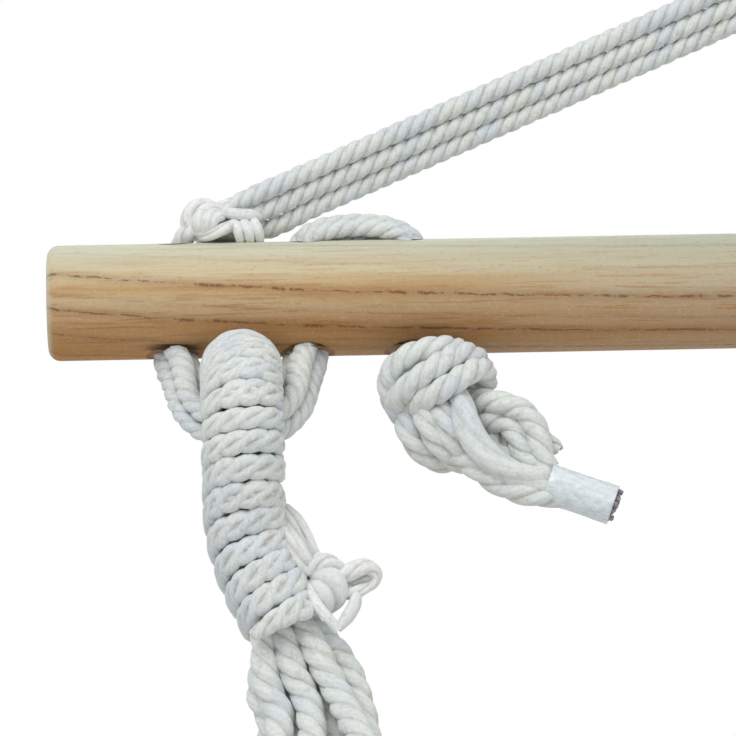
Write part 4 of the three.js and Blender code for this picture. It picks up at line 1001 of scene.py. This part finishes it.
for sideName, side in bothEnds:
    name = sideName + "TopKnot"
    runs = [knotRun(rows, side, 2.75, 3, 36, 1.1 * k, 1.4, [0.85, 1, 1.05, 1, 0.85]) for k,
            rows in enumerate(topKnot["bulb"])]
    runs += [knotRun(topKnot["core"], side, 4.9, 1, ends=[0.9, 1.05, 1, 0.9, 0.75]),
            knotRun(topKnot["lower"], side, 2.2, 3, 34, 0, 1.3, [0.8, 1, 1, 0.9, 0.7]),
            knotRun(topKnot["across"], side, 1.8, 1, ends=[0.75, 1.05, 1, 1, 0.75]),
            knotRun(topKnot["above"], side, 2.4, 3, 40, 0.6, 1.3, [0.8, 1, 1.05, 1]),
            knotRun(topKnot["tail"], side, 3.1, 3, 17, 0, 1.25), knotRun(topKnot["behind"], side, 2.5, 3),
            knotRun(topKnot["softBack"], side, 3.0, 1)]
    runs += [knotRun(lobe, side, 1.6, 1, ends=[0.8, 1.05, 1, 0.9]) for lobe in topKnot["lobes"]]
    settled(name, ropeMesh(name, runs, 12), softCotton, "hanger", [sideName + "_top_knot"])

    name = sideName + "StopperKnot"
    radius, lay = stopper["radius"], stopper["lay"]
    runs = [knotRun(rows, side, radius * 1.14, 3, lay, 0.7 * k, 1.3) for k, rows in enumerate(stopper["front"])]
    runs += [knotRun(rows, side, radius * 1.12, 3, lay * 1.4, 1.1 * k, 1.3) for k, rows in enumerate(stopper["low"])]
    runs += [knotRun(stopper["bright"], side, radius * 1.2, 3, lay * 4, 0.2, 1.5, [0.95, 1.1, 1.15, 1.05, 1, 0.95])]
    runs += [knotRun(rows, side, radius * 1.15, 3, lay * 1.5, 2.0 * k, 1.3, [1, 1, 1, 1, 0.95, 0.75, 0.5])
             for k, rows in enumerate(stopper["tails"])]
    runs += [knotRun(rows, side, radius * 1.15, 3, lay * 1.1, 1.7 * k, 1.3) for k,
             rows in enumerate(stopper["right"])]
    runs += [knotRun(stopper["core"], side, 8.6, 3, 60, 0, 1.2, [0.7, 1, 1, 0.8, 0.5]),
             knotRun(stopper["stub"], side, 2.5, 3, 14),
             knotRun(stopper["back"], side, 5.0, 3, 40, 0, 1.1),
             knotRun(stopper["backLoop"], side, 4.4, 3, 30, 0.5, 1.1)]
    settled(name, ropeMesh(name, runs, 10), cottonRope, "hanger", [sideName + "_stopper_knot"])

    name = sideName + "EndTape"
    ends = atBar([stopper["tapeStart"], stopper["tapeEnd"]], side)
    line = unit(ends[1] - ends[0])
    points = ends[0] + (ends[1] - ends[0]) * np.linspace(0, 1, 30)[:, None]
    wave = 1 + 0.012 * np.sin(np.linspace(0, 9, 30)) - 0.03 * np.linspace(1, 0, 30) ** 6
    mesh = tubeMesh(name, [(points, stopper["tapeRadius"] * wave)], 32)
    tape = settled(name, mesh, tapeFinish, "hanger", [sideName + "_end_tape"])
    wall = tape.modifiers.new("wall", "SOLIDIFY")
    wall.thickness = stopper["tapeWall"] * mm
    wall.offset = -1

    name = sideName + "TailEnd"  # the yarns' ragged ends, out of the tape
    normals, binormals = framesAlong(ends)[1:]
    tufts = []
    for k in range(40):
        away = 5.2 * math.sqrt((k + 0.5) / 40)
        turn = 2.4 * k
        root = ends[1] - line * 2.5 + (normals[1] * math.cos(turn) + binormals[1] * math.sin(turn)) * away
        tip = root + line * (2.9 + seeded.uniform(0, 0.8)) + seeded.uniform(-0.5, 0.5, 3)
        tufts.append({"points": evenly(np.array([root, root * 0.4 + tip * 0.6, tip]), 0.6), "radius": 0.75,
                      "pitch": 6, "strands": 1})
    settled(name, ropeMesh(name, tufts, 8), frayed, "hanger", [])
print("knots made")

# tie of the whipping rope, beside the throat
tie = {
    "soft": [[(72.5, -20, -71.4), (75.7, -23, -76.2), (78.3, -25, -82), (80, -25.5, -86.4), (82.3, -25, -89.8)],
             [(70.9, -23, -73.3), (73.5, -27, -78.6), (76.1, -28.5, -83.9), (78.1, -28.5, -88.3),
              (80.4, -27.5, -92.1)],
             [(69.6, -26, -77.7), (71.6, -30, -82), (73.9, -31, -86.3), (76.2, -30.5, -90.2), (79.2, -29, -93.7)]],
    "lump": [(80.5, -26, -89), (82.8, -27, -92.7), (84.8, -27.5, -96.9), (84.4, -28, -101.6), (83.4, -28, -105.6)],
    "over": [(79.7, -30, -93.6), (81.6, -32, -91.6), (84.3, -32, -90.7), (87, -30.5, -91.7), (88.5, -28, -93.6)],
    "loop": [(86.4, -28, -94.8), (90, -29, -93.9), (93.6, -29.5, -92.8), (96.7, -29.5, -92.3), (98.8, -29, -93.5),
             (99.3, -28.5, -95.5),
             (97.5, -28, -97.8), (94.4, -27.5, -98.9), (91.1, -27, -99.6), (87.8, -26.5, -98.6)],
    "inLoop": [(90, -25, -97.5), (94, -25.5, -96.2), (98.4, -26.5, -95)],
    "tail": [(92.9, -27, -99.1), (92.5, -28.5, -103.1), (90.3, -30, -107.3), (87.1, -31, -111.4)],
    "strap": [(77.9, -29, -97), (79.8, -32, -102), (82.4, -33, -106.2), (85.1, -32.5, -109.3), (87.1, -31.5, -111.9)],
}
for sideName, side in bothEnds:
    name = sideName + "WhippingTie"
    runs = [knotRun(rows, side, 2.3, 2, 60, 0.8 * k, 1.4, [0.8, 1, 1, 1, 0.8]) for k, rows in enumerate(tie["soft"])]
    runs += [knotRun(tie["lump"], side, 6.3, 3, 25, 0.6, 1.24, [0.5, 0.95, 1.05, 0.85, 0.35]),
             knotRun(tie["over"], side, 2.4, 3, 26, 0, 1.3),
             knotRun(tie["loop"], side, 2.7, 3, 24, 0.4, 1.35, [1.1, 1.1, 1.1, 1.05, 0.85, 0.55, 0.6, 0.8, 0.9, 0.9]),
             knotRun(tie["inLoop"], side, 2.0, 1), knotRun(tie["tail"], side, 2.1, 1, ends=[0.8, 1, 1, 0.6]),
             knotRun(tie["strap"], side, 1.75, 1, ends=[0.8, 1, 1, 0.8])]
    settled(name, ropeMesh(name, runs, 10), softCotton, "seat", [sideName + "_whipping_tie"])
print("ties made")

# hems and canvas
cloth = {
    "sag": 390, "edgeSag": 370, "spread": 100, "thickness": 1.5, "foldHeight": 11, "foldCount": 5, "foldPeak": 0.82,
    "foldEnd": 0.25,
    "cells": 150, "pucker": 2.4, "puckerReach": 0.12, "puckerFade": 0.02, "puckerCount": 10, "puckerShift": 0.1,
    "flat": (0.72, 1.17), "stitchEvery": 6, "stitchLength": 3.8, "stitchFromHem": 7, "thread": 0.42,
    "edgeBand": 0.035,
    "halfWidth": 780, "halfWidthGain": 380, "hemSeat": 0.5, "stitchTo": 0.955, "stitchPoints": 5, "threadOut": 0.5,
    "threadIn": -0.9,
}


def scaleUv(mesh, along, around):
    layer = mesh.uv_layers[0].data
    values = np.empty(len(layer) * 2)
    layer.foreach_get("uv", values)
    layer.foreach_set("uv", (values.reshape(-1, 2) * [along, around]).ravel())


for sideName, side in bothEnds:
    name = sideName + "Hem"
    along = np.linspace(-1, 1, hemOf["steps"] + 1)
    points = mirrored([hemPoint(a) for a in along], side)
    hemLength = reachAlong(points)[-1]
    mesh = tubeMesh(name, [(points, hemOf["radius"] * (1 + 0.03 * np.sin(along * 50)))], 20)
    scaleUv(mesh, hemLength * mm, 2 * math.pi * hemOf["radius"] * mm)
    closeEnds(mesh)
    settled(name, mesh, hemFinish, "seat", [sideName + "_hem"])


def clothReach(along):  # length of cloth from the middle line to a hem
    return cloth["halfWidth"] + cloth["halfWidthGain"] * along ** 2


def canvasMiddle(across, along):
    edgeX, edgeY, edgeZ = hemPoint(along)
    lift = 1 - across ** 2
    sag = cloth["sag"] + (cloth["edgeSag"] - cloth["sag"]) * along ** 2
    far = abs(across)
    envelope = eased(far, cloth["foldEnd"], cloth["foldPeak"]) * eased(1 - far, 0, 1 - cloth["foldPeak"])
    fold = cloth["foldHeight"] * envelope * math.cos(math.pi * cloth["foldCount"] * along)
    near = math.exp(-(1 - far) / cloth["puckerReach"]) * (1 - math.exp(-(1 - far) / cloth["puckerFade"]))
    fold += cloth["pucker"] * near * math.cos(math.pi * cloth["puckerCount"] * (along + cloth["puckerShift"]))
    return Vector((edgeX * across + abs(fold) * np.sign(across), edgeY + cloth["spread"] * lift * along,
                   edgeZ - sag * lift))


build = bmesh.new()
build.loops.layers.uv.new("UVMap")
bmesh.ops.create_grid(build, x_segments=cloth["cells"], y_segments=cloth["cells"], size=1, calc_uvs=True)
bands = build.verts.layers.deform.verify()
for vert in build.verts:
    across, along = vert.co.x, vert.co.y
    reach = 1 - (hemOf["radius"] + cloth["hemSeat"]) / clothReach(along)
    vert[bands][0] = 1.0 if 1 - abs(along) < cloth["edgeBand"] else 0.0
    vert.co = canvasMiddle(across * reach, along) * mm
bmesh.ops.recalc_face_normals(build, faces=build.faces)
canvasMesh = bpy.data.meshes.new("canvasSeat")
build.to_mesh(canvasMesh)
build.free()
scaleUv(canvasMesh, cloth["flat"][1], cloth["flat"][0])
canvas = settled("canvasSeat", canvasMesh, canvasFinish, "seat", ["canvas_seat"])
canvas.vertex_groups.new(name="edgeBands")
thick = canvas.modifiers.new("thickness", "SOLIDIFY")  # double along the front and back edges, single elsewhere
thick.thickness = 2 * cloth["thickness"] * mm
thick.offset = 0
thick.vertex_group = "edgeBands"
thick.thickness_vertex_group = 0.5


def stitchRuns(side, face):  # a row of short thread lengths on one face of the cloth, along the hem
    length, every = cloth["stitchLength"] / (hemLength / 2), cloth["stitchEvery"] / (hemLength / 2)
    runs = []
    for place in np.arange(-cloth["stitchTo"], cloth["stitchTo"], every):
        run = []
        for step in np.linspace(0, length, cloth["stitchPoints"]):
            along = place + step
            across = side * (1 - (hemOf["radius"] + cloth["stitchFromHem"]) / clothReach(along))
            at = canvasMiddle(across, along)
            aside = canvasMiddle(across * 1.001, along) - canvasMiddle(across * 0.999, along)
            ahead = canvasMiddle(across, along + 0.001) - canvasMiddle(across, along - 0.001)
            share = cloth["threadOut"] if 0 < step < length else cloth["threadIn"]
            lift = cloth["thickness"] / 2 + cloth["thread"] * share
            run.append(at + aside.cross(ahead).normalized() * face * lift)
        runs.append((np.array(run), cloth["thread"]))
    return runs


for sideName, side in bothEnds:
    name = sideName + "HemThread"
    mesh = tubeMesh(name, stitchRuns(side, 1) + stitchRuns(side, -1), 6)
    closeEnds(mesh)
    settled(name, mesh, threadFinish, "seat", [])
print("seat made")

# floor, light and world
room = {"floorDrop": 1420, "keyEnergy": 26, "fillEnergy": 9, "ambient": 0.62}
floorBuild = bmesh.new()
bmesh.ops.create_grid(floorBuild, x_segments=1, y_segments=1, size=12,
                      matrix=Matrix.Translation((0, 0, -room["floorDrop"] * mm)))
floorMesh = bpy.data.meshes.new("floor")
floorBuild.to_mesh(floorMesh)
floorBuild.free()
floor = bpy.data.objects.new("floor", floorMesh)
scene.collection.objects.link(floor)
floorMesh.materials.append(finishOf("paleFloor", {"Roughness": 0.9, "Base Color": (0.86, 0.86, 0.86, 1)})[0])
for name, at, size, energy in (("keyLight", (-1.2, -1.7, 1.0), 1.5, room["keyEnergy"]),
                               ("fillLight", (1.6, -1.4, 0.2), 1.8, room["fillEnergy"]),
                               ("backLight", (0.2, 1.9, 0.9), 1.6, room["fillEnergy"])):
    lamp = bpy.data.lights.new(name, "AREA")
    lamp.size = size
    lamp.energy = energy
    lampPiece = bpy.data.objects.new(name, lamp)
    scene.collection.objects.link(lampPiece)
    aim = Vector((-0.1, 0, -0.45)) - Vector(at)
    lampPiece.matrix_world = Matrix.Translation(at) @ aim.to_track_quat("-Z", "Y").to_matrix().to_4x4()
world = bpy.data.worlds.new("room")
scene.world = world
world.use_nodes = True
tree = world.node_tree
tree.nodes.clear()
rays = put(tree, "ShaderNodeLightPath").outputs
seen = sums(tree, "MAXIMUM", sums(tree, "MAXIMUM", rays["Is Camera Ray"], rays["Is Glossy Ray"]),
            rays["Is Transmission Ray"])
plain = put(tree, "ShaderNodeBackground", {"Color": (1, 1, 1, 1), "Strength": room["ambient"]})
white = put(tree, "ShaderNodeBackground", {"Color": (1, 1, 1, 1), "Strength": 1.0})
both = put(tree, "ShaderNodeMixShader", {0: seen, 1: plain.outputs[0], 2: white.outputs[0]})
put(tree, "ShaderNodeOutputWorld", {0: both.outputs[0]})
scene.view_settings.view_transform = "Standard"
print("room lit")
